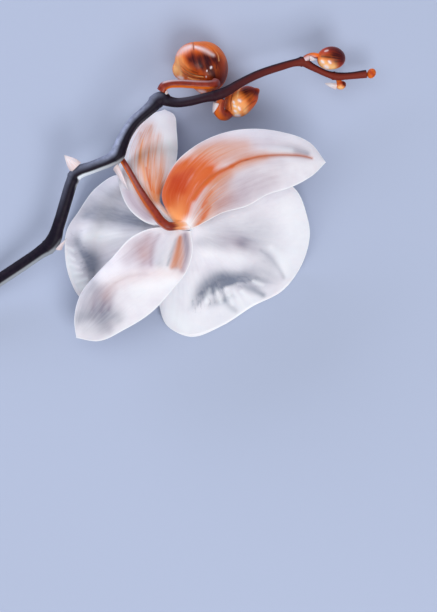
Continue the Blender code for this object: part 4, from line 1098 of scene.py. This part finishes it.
# %% Bract material
# Dry plant tissue is satin, like paper with a little size in it.
bract_skin, tree, shader = new_material("papery_bract", {
    "Roughness": 0.5, "Subsurface Weight": 0.3, "Subsurface Radius": (1.0, 0.7, 0.6),
    "Subsurface Scale": 0.6 * MM})
NERVES = 9.0
across_bract, along_bract = (add_node(tree, "Attribute", {"attribute_name": name}).outputs["Fac"]
                             for name in ("across", "along"))
nerves = add_node(tree, "Math", {"operation": "MULTIPLY", 1: NERVES}, {0: across_bract})
nerve_space = add_node(tree, "CombineXYZ", {}, {"X": nerves, "Y": along_bract})
nerve_noise = add_node(tree, "TexNoise", {"Scale": 1.0, "Detail": 3.0}, {"Vector": nerve_space})
nerve_ramp = add_node(tree, "MapRange", {"From Min": 0.4, "From Max": 0.65, "To Min": 0.0,
                                         "To Max": 0.55}, {"Value": nerve_noise})
base_ramp = add_node(tree, "MapRange", {"From Min": 0.0, "From Max": 0.5, "To Min": 0.25,
                                        "To Max": 0.0}, {"Value": along_bract})
colour = add_node(tree, "RGB").outputs[0]
colour.default_value = srgb("EFE6EA")
for wash, mask in (("D3B6B8", nerve_ramp), ("D8A58C", base_ramp)):
    colour = add_node(tree, "Mix", {"data_type": "RGBA", 7: srgb(wash)},
                      {0: mask, 6: colour}).outputs[2]
tree.links.new(colour, shader.inputs["Base Color"])
print("nodes in the bracts' skin:", len(tree.nodes))

# %% The bracts
# Each bract: the point on the stem's axis, the way it points, the way it faces, the radius it
# wraps, its length, its half-angle in degrees and how far its tip stands away.
BRACTS = {
    "bract_low": ((-45.2, -6.2, 12.8), (0.3, 0.92, 0.24), (0.95, -0.3, 0.1), 3.2, 4.4, 55, 0.6),
    "bract_bend": ((-36.8, 20.6, 17.6), (-0.7, 0.72, 0.08), (-0.1, 0.1, 0.98), 2.4, 5.8, 68, -0.3),
    "bract_flower": ((-21.9, 21.1, 18.4), (0.56, -0.8, 0.33), (-0.75, -0.45, 0.45), 2.4, 9.4, 55,
                     0.3),
    "bract_bud_large": ((-8, 44, 21), (-0.1, 0.98, 0.12), (0.96, 0.05, 0.28), 2.4, 4.2, 34, -0.2),
    "bract_bud_second": ((12, 42.6, 19.1), (-0.1, -0.95, -0.28), (-0.9, 0.1, 0.42), 2, 3.8, 60,
                         0.1),
    "bract_bud_third": ((42.7, 58.8, 15.4), (0.97, 0, 0), (0, -0.85, 0.5), 1.6, 2, 50, 0.1),
    "bract_bud_tiny": ((52.2, 48.9, 8.7), (-0.95, 0.3, 0), (-0.1, -0.3, 0.92), 1.2, 4.2, 60, 0.2),
}
BRACT_ROWS = BRACT_COLUMNS = 36
BRACT_END = 0.995  # the rows stop just before the point
BRACT_MIDDLE, BRACT_RIM = 0.5, 0.2  # thickness in millimetres
PLEAT_HEIGHT, PLEATS = 0.05, 18.0
for name, (base, way, facing, radius, length, half_angle, flare) in BRACTS.items():
    way = np.array(way) / np.linalg.norm(way)
    facing = np.array(facing) - way * (np.array(facing) @ way)
    facing /= np.linalg.norm(facing)
    side = np.cross(way, facing)
    t = np.linspace(0.0, BRACT_END, BRACT_ROWS)[:, None]
    v = np.linspace(-1.0, 1.0, BRACT_COLUMNS)[None, :]
    angle = np.radians(half_angle) * (1 - t ** 1.5) * v
    away = radius + flare * t * t + PLEAT_HEIGHT * np.cos(v * PLEATS) * (1 - t) * t * 4
    out = np.cos(angle)[..., None] * facing + np.sin(angle)[..., None] * side
    grid = np.array(base) + way * length * t[..., None] + out * away[..., None]
    rim = np.minimum(1 - np.abs(v) + 0 * t, (1 - t) + 0 * v)
    thickness = BRACT_RIM + (BRACT_MIDDLE - BRACT_RIM) * smooth_step(0.0, 0.5, rim)
    sheet(name, grid, thickness, bract_skin, {"along": t + 0 * v, "across": v + 0 * t})

# %% [markdown]
# ## Buds
# A bud is the folded sepals, wrapped round each other, so its outline is the union of a few
# rounded lobes, with seams where one sepal laps over the next. We send rays out from its middle:
# the skin is where the furthest lobe ends, and the marks cut the seams. Metaballs would blend the
# lobes too, but they would round off the point.

# %% Bud material
# The young sepals are waxy and full of sap: satin, with an IOR near 1.45 and a very thin coat.
bud_skin, tree, shader = new_material("waxy_amber_bud", {
    "Roughness": 0.45, "IOR": 1.45, "Subsurface Weight": 0.2,
    "Subsurface Radius": (1.0, 0.45, 0.2), "Subsurface Scale": 1.0 * MM,
    "Specular IOR Level": 0.25, "Coat Weight": 0.05, "Coat Roughness": 0.15})
BUD_PAINTS = ("maroon", "cream", "red", "painted_highlight", "seam")
bud_masks = {name: add_node(tree, "Attribute", {"attribute_name": name}).outputs["Fac"]
             for name in (*BUD_PAINTS, "round_x", "round_y", "along")}
BUD_CLOUD = 4.0
clouds = add_node(tree, "TexNoise", {"Scale": 1 / (BUD_CLOUD * MM), "Detail": 4.0},
                  {"Vector": add_node(tree, "TexCoord").outputs["Object"]})
clouds_range = add_node(tree, "MapRange", {"From Min": 0.35, "From Max": 0.7, "To Min": 0.0,
                                           "To Max": 0.4}, {"Value": clouds})
# Fine streaks run from the bud's base to its tip, so this noise is narrow round the bud's axis
# and long beside it.
bud_space = add_node(tree, "CombineXYZ", {}, {"X": bud_masks["round_x"], "Y": bud_masks["round_y"],
                                              "Z": bud_masks["along"]})
bud_streaks = add_node(tree, "TexNoise", {"Scale": 1.0, "Detail": 3.0}, {"Vector": bud_space})
bud_bands = add_node(tree, "MapRange", {"From Min": 0.45, "From Max": 0.65, "To Min": 0.0,
                                        "To Max": 0.35}, {"Value": bud_streaks})
maroon_bands = add_node(tree, "MapRange", {"From Min": 0.3, "From Max": 0.7, "To Min": 0.75,
                                           "To Max": 1.15}, {"Value": bud_streaks})
maroon = add_node(tree, "Math", {"operation": "MULTIPLY", "use_clamp": True},
                  {0: maroon_bands, 1: bud_masks["maroon"]})
colour = add_node(tree, "RGB").outputs[0]
colour.default_value = srgb("F27C22")
# F2E4E6 paints highlights and small glints; FFC684 is pale skin, and on the raised edges of the
# seams a painted highlight.
for wash, mask in (("C04414", clouds_range), ("9A3010", bud_bands), ("A82C10", bud_masks["red"]),
                   ("380810", maroon), ("FFC684", bud_masks["cream"]),
                   ("F2E4E6", bud_masks["painted_highlight"]), ("4A1410", bud_masks["seam"])):
    colour = add_node(tree, "Mix", {"data_type": "RGBA", 7: srgb(wash)},
                      {0: mask, 6: colour}).outputs[2]
tree.links.new(colour, shader.inputs["Base Color"])
bud_bump = add_node(tree, "Bump", {"Strength": 0.5, "Distance": 0.12 * MM},
                    {"Height": bud_streaks})
tree.links.new(bud_bump.outputs[0], shader.inputs["Normal"])
print("nodes in the buds' skin:", len(tree.nodes))

# %% Lobes and streaks of a bud
SOFTNESS = 0.25
LOBE_SHRINK = 0.985  # leaves room for the relief inside the measured solid
STREAKS_ROUND, STREAK_STEP = 8.0, 9.0  # about fifty streaks round the bud, each 9 mm long


def lobe_reach(ways, offset, half_lengths, angle):
    """How far it is along each way from the bud's middle to the end of an oval lobe."""
    c, s = math.cos(math.radians(angle)), math.sin(math.radians(angle))
    into = np.array(((c, s, 0.0), (-s, c, 0.0), (0.0, 0.0, 1.0)))
    into /= np.array(half_lengths)[:, None]
    d, o = ways @ into.T, into @ np.array(offset)
    a, b, k = (d * d).sum(axis=1), d @ o, o @ o - 1.0
    root = b * b - a * k
    return np.where(root > 0, (b + np.sqrt(np.maximum(root, 0))) / a, 0.0)


def streak_places(from_centre, tip):
    """Where each point lies round the bud's axis and along it, for the streaks."""
    axis = np.array(tip) / np.linalg.norm(tip)
    place = from_centre @ axis
    radial = from_centre - place[:, None] * axis
    radial /= np.linalg.norm(radial, axis=1)[:, None] + 1e-6
    side = np.cross(axis, (0.0, 0.0, 1.0))
    side /= np.linalg.norm(side)
    return {"round_x": radial @ side * STREAKS_ROUND,
            "round_y": radial @ np.cross(side, axis) * STREAKS_ROUND, "along": place / STREAK_STEP}


print("bud lobes shrunk to", LOBE_SHRINK, "of their size")

# %% Bud builder


def bud(name, centre, lobes, marks, tip, rings):
    """A closed bud: the soft union of its lobes round a centre, cut by its seams."""
    sides = rings * 4 // 3
    polar = np.linspace(0.0, np.pi, rings)[1:-1, None]
    turn = np.linspace(0.0, 2 * np.pi, sides, endpoint=False)[None, :]
    ways = np.stack((np.sin(polar) * np.cos(turn), np.sin(polar) * np.sin(turn),
                     np.cos(polar) + 0 * turn), axis=2).reshape(-1, 3)
    ways = np.concatenate((ways, [(0.0, 0.0, 1.0), (0.0, 0.0, -1.0)]))
    reaches = np.array([lobe_reach(ways, *lobe) for lobe in lobes])
    furthest = reaches.max(axis=0)
    soft = furthest + SOFTNESS * np.log(np.exp((reaches - furthest) / SOFTNESS).sum(axis=0))
    places = np.array(centre) + ways * (LOBE_SHRINK * soft)[:, None]
    relief, masks = paint(marks, places[:, :2])
    upper = smooth_step(-0.1, 0.25, ways[:, 2])  # the marks lie on the upper side only
    places += ways * (relief * upper)[:, None]
    places[:, 2] = np.maximum(places[:, 2], 0.0)
    layers = {mask: np.zeros(len(places)) for mask in BUD_PAINTS}
    layers.update({key: value * upper for key, value in masks.items()})
    layers.update(streak_places(places - np.array(centre), tip))
    numbers = np.arange((rings - 2) * sides).reshape(-1, sides)
    a, b = numbers[:-1], numbers[1:]
    faces = np.stack((a, b, np.roll(b, -1, 1), np.roll(a, -1, 1)), axis=2).reshape(-1, 4).tolist()
    top, bottom = numbers.size, numbers.size + 1
    for k in range(sides):
        n = (k + 1) % sides
        faces.append((int(numbers[0, k]), int(numbers[0, n]), top))
        faces.append((int(numbers[-1, n]), int(numbers[-1, k]), bottom))
    add_piece(name, places, faces, bud_skin, layers)


print("paints on a bud:", ", ".join(BUD_PAINTS))

# %% [markdown]
# ### The five buds
# The largest is next to open: it is bright orange, with maroon hollows, painted highlights along
# its top and seams where its sepals lap. The others are younger and darker. Small white spots on
# them are painted glints.

# %% Marks on the large bud
LARGE_BUD_MARKS = [
    # red flanks and maroon hollows
    ("red", 3.2, 0, (0.4, 1), [(12, 59.4), (13.4, 56), (13.4, 52.6), (11.4, 49)]),
    ("red", 2.6, 0, (0.8, 0.8), [(2, 58.4), (5.6, 57.6), (9.6, 57)]),
    ("red", 2.6, 0, (0.5, 0.6), [(2, 56), (5, 53.6), (8, 50.6)]),
    ("red", 0.9, -0.2, (0.2, 0.3), [(-1.9, 57.6), (-1.7, 53.2)]),
    ("cream", 1, 0, (0.5, 0.7), [(-2.6, 58), (-2.4, 55.4), (-1.4, 52.6)]),
    ("maroon", 0.7, -0.1, (0, 0.9), [(2.6, 61.4), (2.8, 59.8), (3, 58)]),
    ("maroon", 2.4, -0.2, (1, 1), [(2.6, 57.4), (4.6, 56.4), (7.4, 56.2)]),
    ("maroon", 2.2, -0.2, (1, 0.9), [(6, 57.6), (8.4, 57.6), (10.4, 57.4)]),
    ("maroon", 1.8, -0.1, (1, 1), [(6.4, 55.4), (8.6, 53.8), (9.8, 52)]),
    ("maroon", 2, 0, (0.6, 1), [(11.6, 57), (11.6, 53.6), (11, 49.6)]),
    ("maroon", 0.45, 0, (0, 0.8), [(5.4, 61), (6, 59.4), (7.4, 57.8)]),
    ("maroon", 0.45, 0, (0, 0.8), [(8.4, 60.6), (9.2, 59.2), (9.6, 57.8)]),
    ("maroon", 0.4, 0, (0, 0.8), [(0.2, 59.4), (1, 58), (2.4, 56.8)]),
    ("maroon", 1, 0, (0.5, 0.9), [(14.4, 56.6), (14.4, 53), (13, 50)]),
    # painted highlights along the top
    ("painted_highlight", 1.1, 0.1, (0.45, 0.8), [(-2.3, 59.4), (-0.4, 61), (2, 61.9)]),
    ("painted_highlight", 0.7, 0.1, (0.85, 0.5), [(3.8, 61.7), (6.7, 60.7), (9.9, 59)]),
    # seams between the sepals, with painted highlights on their raised edges
    ("seam", 0.17, -0.3, (0.5, 0.9), [(2.8, 64), (3.2, 60.8)]),
    ("seam", 0.2, -0.25, (0.2, 0.9), [(9.6, 60.8), (11, 58.8), (11.2, 56.8), (10.9, 54.4)]),
    ("cream", 0.15, 0.1, (0.1, 0.6), [(10, 61.1), (11.5, 58.9), (11.8, 57)]),
    ("seam", 0.17, -0.25, (0.3, 0.8), [(-1.4, 55.4), (0.6, 53.6), (3.4, 52.2), (6.6, 51.7)]),
    ("cream", 0.16, 0.1, (0.1, 0.9), [(-1.4, 54.8), (1.2, 53.1), (4, 51.9), (6.4, 51.5)]),
    ("seam", 0.17, -0.25, (0.3, 0.8), [(-1.2, 53.6), (1.2, 52.1), (3.8, 51.1), (6.4, 50.7)]),
    ("cream", 0.16, 0.1, (0.9, 0.2), [(1.2, 51.6), (3, 50.8), (5.2, 50.5)]),
    ("cream", 0.8, 0, (0.4, 0.1), [(-1.4, 58.6), (-0.4, 56), (2, 54)]),
    ("seam", 0.25, 0, (0.1, 0.6), [(-1, 56.4), (1, 54.4), (4.4, 52.8)]),
    # pale skin on the left, painted highlights on the left and below, then three painted glints
    ("cream", 1.3, 0, (0.9, 1), [(-4.1, 55.6), (-3.7, 52.6)]),
    ("painted_highlight", 0.6, 0, (0.9, 0.9), [(-2.6, 51.7), (-0.8, 51.4)]),
    ("painted_highlight", 0.7, 0, (0.9, 0.6), [(4.4, 46.9), (6.8, 46.7)]),
    ("painted_highlight", 0.32, 0.12, (1, 1), [(9.2, 54.9), (9, 54.4)]),
    ("painted_highlight", 0.2, 0.1, (1, 1), [(7.7, 53.7), (7.6, 53.3)]),
    ("painted_highlight", 0.2, 0.1, (1, 1), [(7.4, 51.7), (7.4, 51.3)]),
]
print("marks on the large bud:", len(LARGE_BUD_MARKS))

# %% Marks on the second and third bud
SECOND_BUD_MARKS = [
    ("red", 2, 0, (0.9, 0.95), [(16.6, 48), (20.6, 48.4), (24.6, 46.6)]),
    ("red", 1.4, 0, (0.6, 0.5), [(16.4, 47.4), (14.6, 44.4), (14.2, 40.6)]),
    ("red", 1.2, 0, (0.8, 0.4), [(24.8, 45.4), (23.4, 42.6), (21, 39.8)]),
    ("maroon", 1.8, -0.1, (0.8, 0.9), [(20.6, 47.2), (23, 46.6), (24.8, 46)]),
    ("maroon", 1.3, 0, (0.9, 0.5), [(20.6, 46.6), (21.8, 44.6), (22.4, 43.2)]),
    ("maroon", 0.5, 0, (0.5, 0.3), [(15, 45.4), (14.4, 42.6), (14.8, 40.4)]),
    ("cream", 1.5, 0, (0.5, 1), [(18, 44.6), (17.4, 41.6), (18, 38.8)]),
    ("cream", 1.3, 0, (0.4, 0.7), [(20, 42.8), (20.6, 39.8)]),
    ("cream", 0.25, 0.1, (0.2, 0.9), [(19.4, 48.2), (18.4, 46.6), (18, 44.6)]),
    ("painted_highlight", 0.5, 0, (0.6, 0.4), [(18.6, 48.6), (19.6, 48.4)]),
    # small painted glints, and a painted highlight below them
    ("painted_highlight", 0.35, 0.1, (1, 1), [(16.6, 43), (16.9, 42.4)]),
    ("painted_highlight", 0.5, 0.1, (1, 1), [(18.4, 43.4), (19, 43)]),
    ("painted_highlight", 0.35, 0.1, (1, 1), [(16.8, 41.6), (17.4, 41.2)]),
    ("painted_highlight", 0.4, 0.1, (1, 1), [(18.4, 41), (18.9, 40.2)]),
    ("painted_highlight", 0.35, 0.1, (1, 1), [(17, 39.9), (17.6, 39.5)]),
    ("painted_highlight", 0.5, 0, (1, 0.8), [(17.4, 38.4), (18.8, 38.2)]),
    # seams between the sepals
    ("seam", 0.22, -0.3, (0.7, 0.7), [(18, 48), (16.2, 45.4), (15.6, 42.6), (15.8, 40.2)]),
    ("seam", 0.2, -0.2, (0.2, 0.5), [(19.6, 39.4), (21.8, 41.6), (24.4, 43.6)]),
]
THIRD_BUD_MARKS = [
    ("red", 3, 0, (0.95, 1), [(48.6, 60.6), (51.6, 60.8), (54.2, 58.4), (53.4, 55.6)]),
    ("red", 1, 0, (0.6, 0.8), [(46.4, 59.2), (48.2, 61)]),
    ("maroon", 2.6, -0.1, (1, 1), [(51, 58.6), (52.2, 58.4), (53.6, 57.6)]),
    ("maroon", 1.3, 0, (0.7, 0.9), [(49.4, 61.4), (52.4, 60.8), (54.4, 58.8)]),
    ("maroon", 0.6, 0, (0.8, 0.8), [(46.8, 58.4), (49.4, 58.1)]),
    ("maroon", 0.6, 0, (0.6, 0.2), [(51.4, 57.2), (51.6, 55.4)]),
    ("cream", 1.6, 0.1, (0.9, 1), [(46.7, 56.4), (48.6, 54.9), (50.6, 54.7)]),
    # small painted glints, and a painted highlight on top
    ("painted_highlight", 0.4, 0.1, (1, 1), [(46.7, 56.9), (47.4, 56.3)]),
    ("painted_highlight", 0.4, 0.1, (1, 1), [(49.1, 56.7), (49.7, 56.1)]),
    ("painted_highlight", 0.5, 0.1, (1, 1), [(47.9, 55.2), (48.9, 54.8)]),
    ("painted_highlight", 0.3, 0, (0.6, 0.6), [(47.8, 60.2), (48.8, 60.5)]),
]
print("marks on the smaller buds:", len(SECOND_BUD_MARKS), len(THIRD_BUD_MARKS))

# %% The buds
# Each bud: its centre, its lobes (offset, half-lengths and turn in degrees), its marks, the way
# its tip points and its number of rings.
BUDS = {
    "bud_large": ((5.2, 55.4, 9.1),
                  [((-1.2, 2.05, 0.8), (7.5, 6.7, 7.9), 0.0),
                   ((2.0, 0.0, -0.6), (7.8, 9.04, 8.5), 10.0),
                   ((-4.5, -0.6, -1.0), (5.1, 4.4, 5.0), 0.0),
                   ((2.3, -4.3, -1.0), (4.8, 5.2, 5.4), 0.0)],
                  LARGE_BUD_MARKS, (-3.0, 8.7, 1.5), 200),
    "bud_second": ((19.9, 43.7, 14.0),
                   [((-0.2, -0.1, 0.0), (6.2, 4.3, 4.7), 36.0),
                    ((3.4, 2.2, 0.2), (2.8, 1.5, 2.0), 36.0),
                    ((-1.6, -1.0, 0.4), (5.1, 4.8, 4.7), 36.0)],
                   SECOND_BUD_MARKS, (5.0, 4.0, 1.0), 140),
    "bud_third": ((50.1, 58.1, 14.0),
                  [((0.3, 0.1, 0.0), (4.6, 3.9, 3.9), -8.0),
                   ((-1.2, -0.3, 0.2), (3.8, 3.6, 3.7), -8.0)],
                  THIRD_BUD_MARKS, (4.6, -0.6, 0.5), 120),
    "bud_tiny": ((53.6, 49.2, 9.3),
                 [((0.0, 0.0, 0.0), (1.8, 1.5, 1.5), 20.0),
                  ((-0.7, 1.2, 0.8), (0.9, 1.6, 1.0), 25.0)],
                 [("red", 0.9, 0.0, (0.9, 0.9), [(53.2, 49.9), (54.8, 49.6)]),
                  ("maroon", 0.6, 0.0, (0.9, 0.9), [(54.4, 49.9), (54.9, 49.1)]),
                  ("cream", 0.7, 0.0, (1.0, 0.8), [(52.8, 48.4), (54.0, 48.1)])],
                 (1.0, -0.6, 0.0), 60),
    "spike_tip_bud": ((64.0, 53.2, 9.6), [((0.0, 0.0, 0.0), (1.8, 1.5, 1.5), 60.0)],
                      [("red", 0.8, 0.0, (0.8, 0.8), [(63.4, 53.8), (64.6, 52.6)])],
                      (1.0, 0.1, 0.0), 60),
}
for name, settings in BUDS.items():
    bud(name, *settings)

# %% [markdown]
# ## The face: column, anther cap and lip
# They are hidden under the flower here, but the spray can be picked up and turned. In an orchid
# the stamen and the pistil are one pillar, the column, with two low wings and a sticky hollow, the
# stigma, near its end. A cap at its tip covers the pollen. The column and the cap are swept as the
# stalks are, with a dent for the hollow.

# %% Face material
# Thick, waxy tissue: smoother than a petal, with light passing a little deeper into it.
face_skin, tree, shader = new_material("waxy_lip_and_column", {
    "Roughness": 0.35, "Subsurface Weight": 0.3, "Subsurface Radius": (1.0, 0.8, 0.7),
    "Subsurface Scale": 0.6 * MM})
face_masks = {name: add_node(tree, "Attribute", {"attribute_name": name}).outputs["Fac"]
              for name in ("gold", "flush", "across")}
stripe_space = add_node(tree, "CombineXYZ", {}, {"X": face_masks["across"]})
stripes = add_node(tree, "TexNoise", {"Scale": 1.6, "Detail": 2.0}, {"Vector": stripe_space})
stripe_range = add_node(tree, "MapRange", {"From Min": 0.46, "From Max": 0.56, "To Min": 0.15,
                                           "To Max": 1.0}, {"Value": stripes})
striped = add_node(tree, "Math", {"operation": "MULTIPLY", "use_clamp": True},
                   {0: stripe_range, 1: face_masks["flush"]})
colour = add_node(tree, "RGB").outputs[0]
colour.default_value = srgb("F0ECF2")
for wash, mask in (("F0B53A", face_masks["gold"]), ("9C2F3C", striped)):
    colour = add_node(tree, "Mix", {"data_type": "RGBA", 7: srgb(wash)},
                      {0: mask, 6: colour}).outputs[2]
tree.links.new(colour, shader.inputs["Base Color"])
print("nodes in the face's skin:", len(tree.nodes))

# %% Column and cap
# The way the flower faces, and the way from its column towards its lip.
FACE = Vector((0.25, 0.10, -0.96)).normalized()
LIP_SIDE = Vector((0.50, 0.85, 0.22)).normalized()
COLUMN_TOP = Vector((-0.8, 0.0, 28.4))
COLUMN_LENGTH, COLUMN_BEND = 10.5, 1.2
COLUMN_RADII = (1.7, 1.8, 1.9, 2.1, 2.5, 2.7, 2.3)
COLUMN_SHRINK = 0.93  # leaves room for the wings
column_route = []
for k, radius in enumerate(COLUMN_RADII):
    t = k / (len(COLUMN_RADII) - 1)
    place = COLUMN_TOP + FACE * COLUMN_LENGTH * t + LIP_SIDE * COLUMN_BEND * t * t
    column_route.append((*place, COLUMN_SHRINK * radius))
column_end = COLUMN_TOP + FACE * COLUMN_LENGTH + LIP_SIDE * COLUMN_BEND
stigma = column_end - FACE * 3.2 + LIP_SIDE * 2.2
sweep("column", column_route, face_skin, 110, 72, (2, 0.07), [],
      {"gold": (tuple(LIP_SIDE), 0.6, 1.0, (0.0, 0.5)),
       "flush": (tuple(LIP_SIDE), 0.2, 1.0, (0.5, 0.0))}, dents=[(tuple(stigma), 1.3, 1.1)])

CAP_RADIUS = 2.1
cap_way = (FACE * COLUMN_LENGTH + LIP_SIDE * 2 * COLUMN_BEND).normalized()
cap_route = [(*(column_end + cap_way * (0.3 + CAP_RADIUS * t)), CAP_RADIUS * width)
             for t, width in ((0.0, 0.94), (0.3, 0.98), (0.6, 0.9), (0.8, 0.76), (0.95, 0.5))]
cap_dent = column_end + cap_way * 2.0 + LIP_SIDE * 1.2
sweep("anther_cap", cap_route, face_skin, 50, 60, (2, 0.05), [],
      {"gold": (tuple(cap_way), 0.5, 1.0, (0.1, 0.25))}, dents=[(tuple(cap_dent), 0.5, 0.3)])

# %% [markdown]
# ### The lip
# The third petal is the lip: two side lobes stand up round the column, a yellow callus marks the
# landing place, and a pointed tongue reaches forward between them. It grew as one piece, so it is
# one sheet, built as a sepal is, with two bumps for the callus.

# %% Lip
LIP_HINGE = Vector((1.8, 3.7, 23.4))
lip_forward = (FACE * 0.6 + LIP_SIDE * 0.8).normalized()
lip_sideways = FACE.cross(LIP_SIDE).normalized()
lip_floor = lip_forward.cross(lip_sideways)
if lip_floor.dot(FACE) < 0:
    lip_floor = -lip_floor


def on_lip(u, w, n):
    """A place on the lip: u millimetres out from its hinge, w sideways and n off its floor."""
    return tuple(LIP_HINGE + lip_forward * u + lip_sideways * w + lip_floor * n)


LIP_RIM = [(0.7, 3.0, 0.6), (2.8, 6.7, 3.2), (5.2, 7.2, 4.8), (6.8, 6.4, 4.9), (8.1, 4.4, 2.5),
           (8.8, 2.5, 0.2), (11.0, 4.2, -0.6), (14.0, 4.9, -1.0), (16.8, 2.6, -0.5),
           (17.9, 0.0, 0.1)]
LIP_MIDDLE = [(0.7, 0.0, 0.2), (3.0, 0.0, 0.0), (5.6, 0.0, 0.1), (8.8, 0.0, -0.2),
              (12.0, 0.0, -0.6), (15.0, 0.0, -0.8), (17.9, 0.0, 0.1)]
LIP = {"left": [on_lip(u, -w, n) for u, w, n in LIP_RIM],
       "midrib": [on_lip(*place) for place in LIP_MIDDLE],
       "right": [on_lip(u, w, n) for u, w, n in LIP_RIM]}
# Each mark: its paint, its half-width and depth, its strengths, and its two ends on the lip.
LIP_STROKES = [
    ("gold", 1.5, 0.0, (1.0, 0.8), (2.0, 0.0, 0.0), (8.0, 0.0, -0.2)),
    ("gold", 1.2, 0.0, (0.7, 0.7), (3.0, -3.4, 1.6), (6.4, -3.2, 2.0)),
    ("gold", 1.2, 0.0, (0.7, 0.7), (3.0, 3.4, 1.6), (6.4, 3.2, 2.0)),
    ("gold", 0.6, -1.1, (0.9, 1.0), (4.4, -0.8, 0.0), (6.4, -0.9, 0.0)),
    ("gold", 0.6, -1.1, (0.9, 1.0), (4.4, 0.8, 0.0), (6.4, 0.9, 0.0)),
    ("flush", 2.2, 0.0, (1.0, 0.2), (1.2, 0.0, 0.0), (9.0, 0.0, -0.2)),
    ("flush", 2.0, 0.0, (0.8, 0.3), (2.0, -3.6, 1.6), (6.0, -4.4, 3.0)),
    ("flush", 2.0, 0.0, (0.8, 0.3), (2.0, 3.6, 1.6), (6.0, 4.4, 3.0)),
    ("flush", 0.5, 0.35, (0.3, 0.1), (9.0, 0.0, -0.3), (16.0, 0.0, -0.6)),
]
LIP_MARKS = [(*look, [on_lip(*start), on_lip(*end)]) for *look, start, end in LIP_STROKES]
sepal("lip", LIP, LIP_MARKS, 16, face_skin)
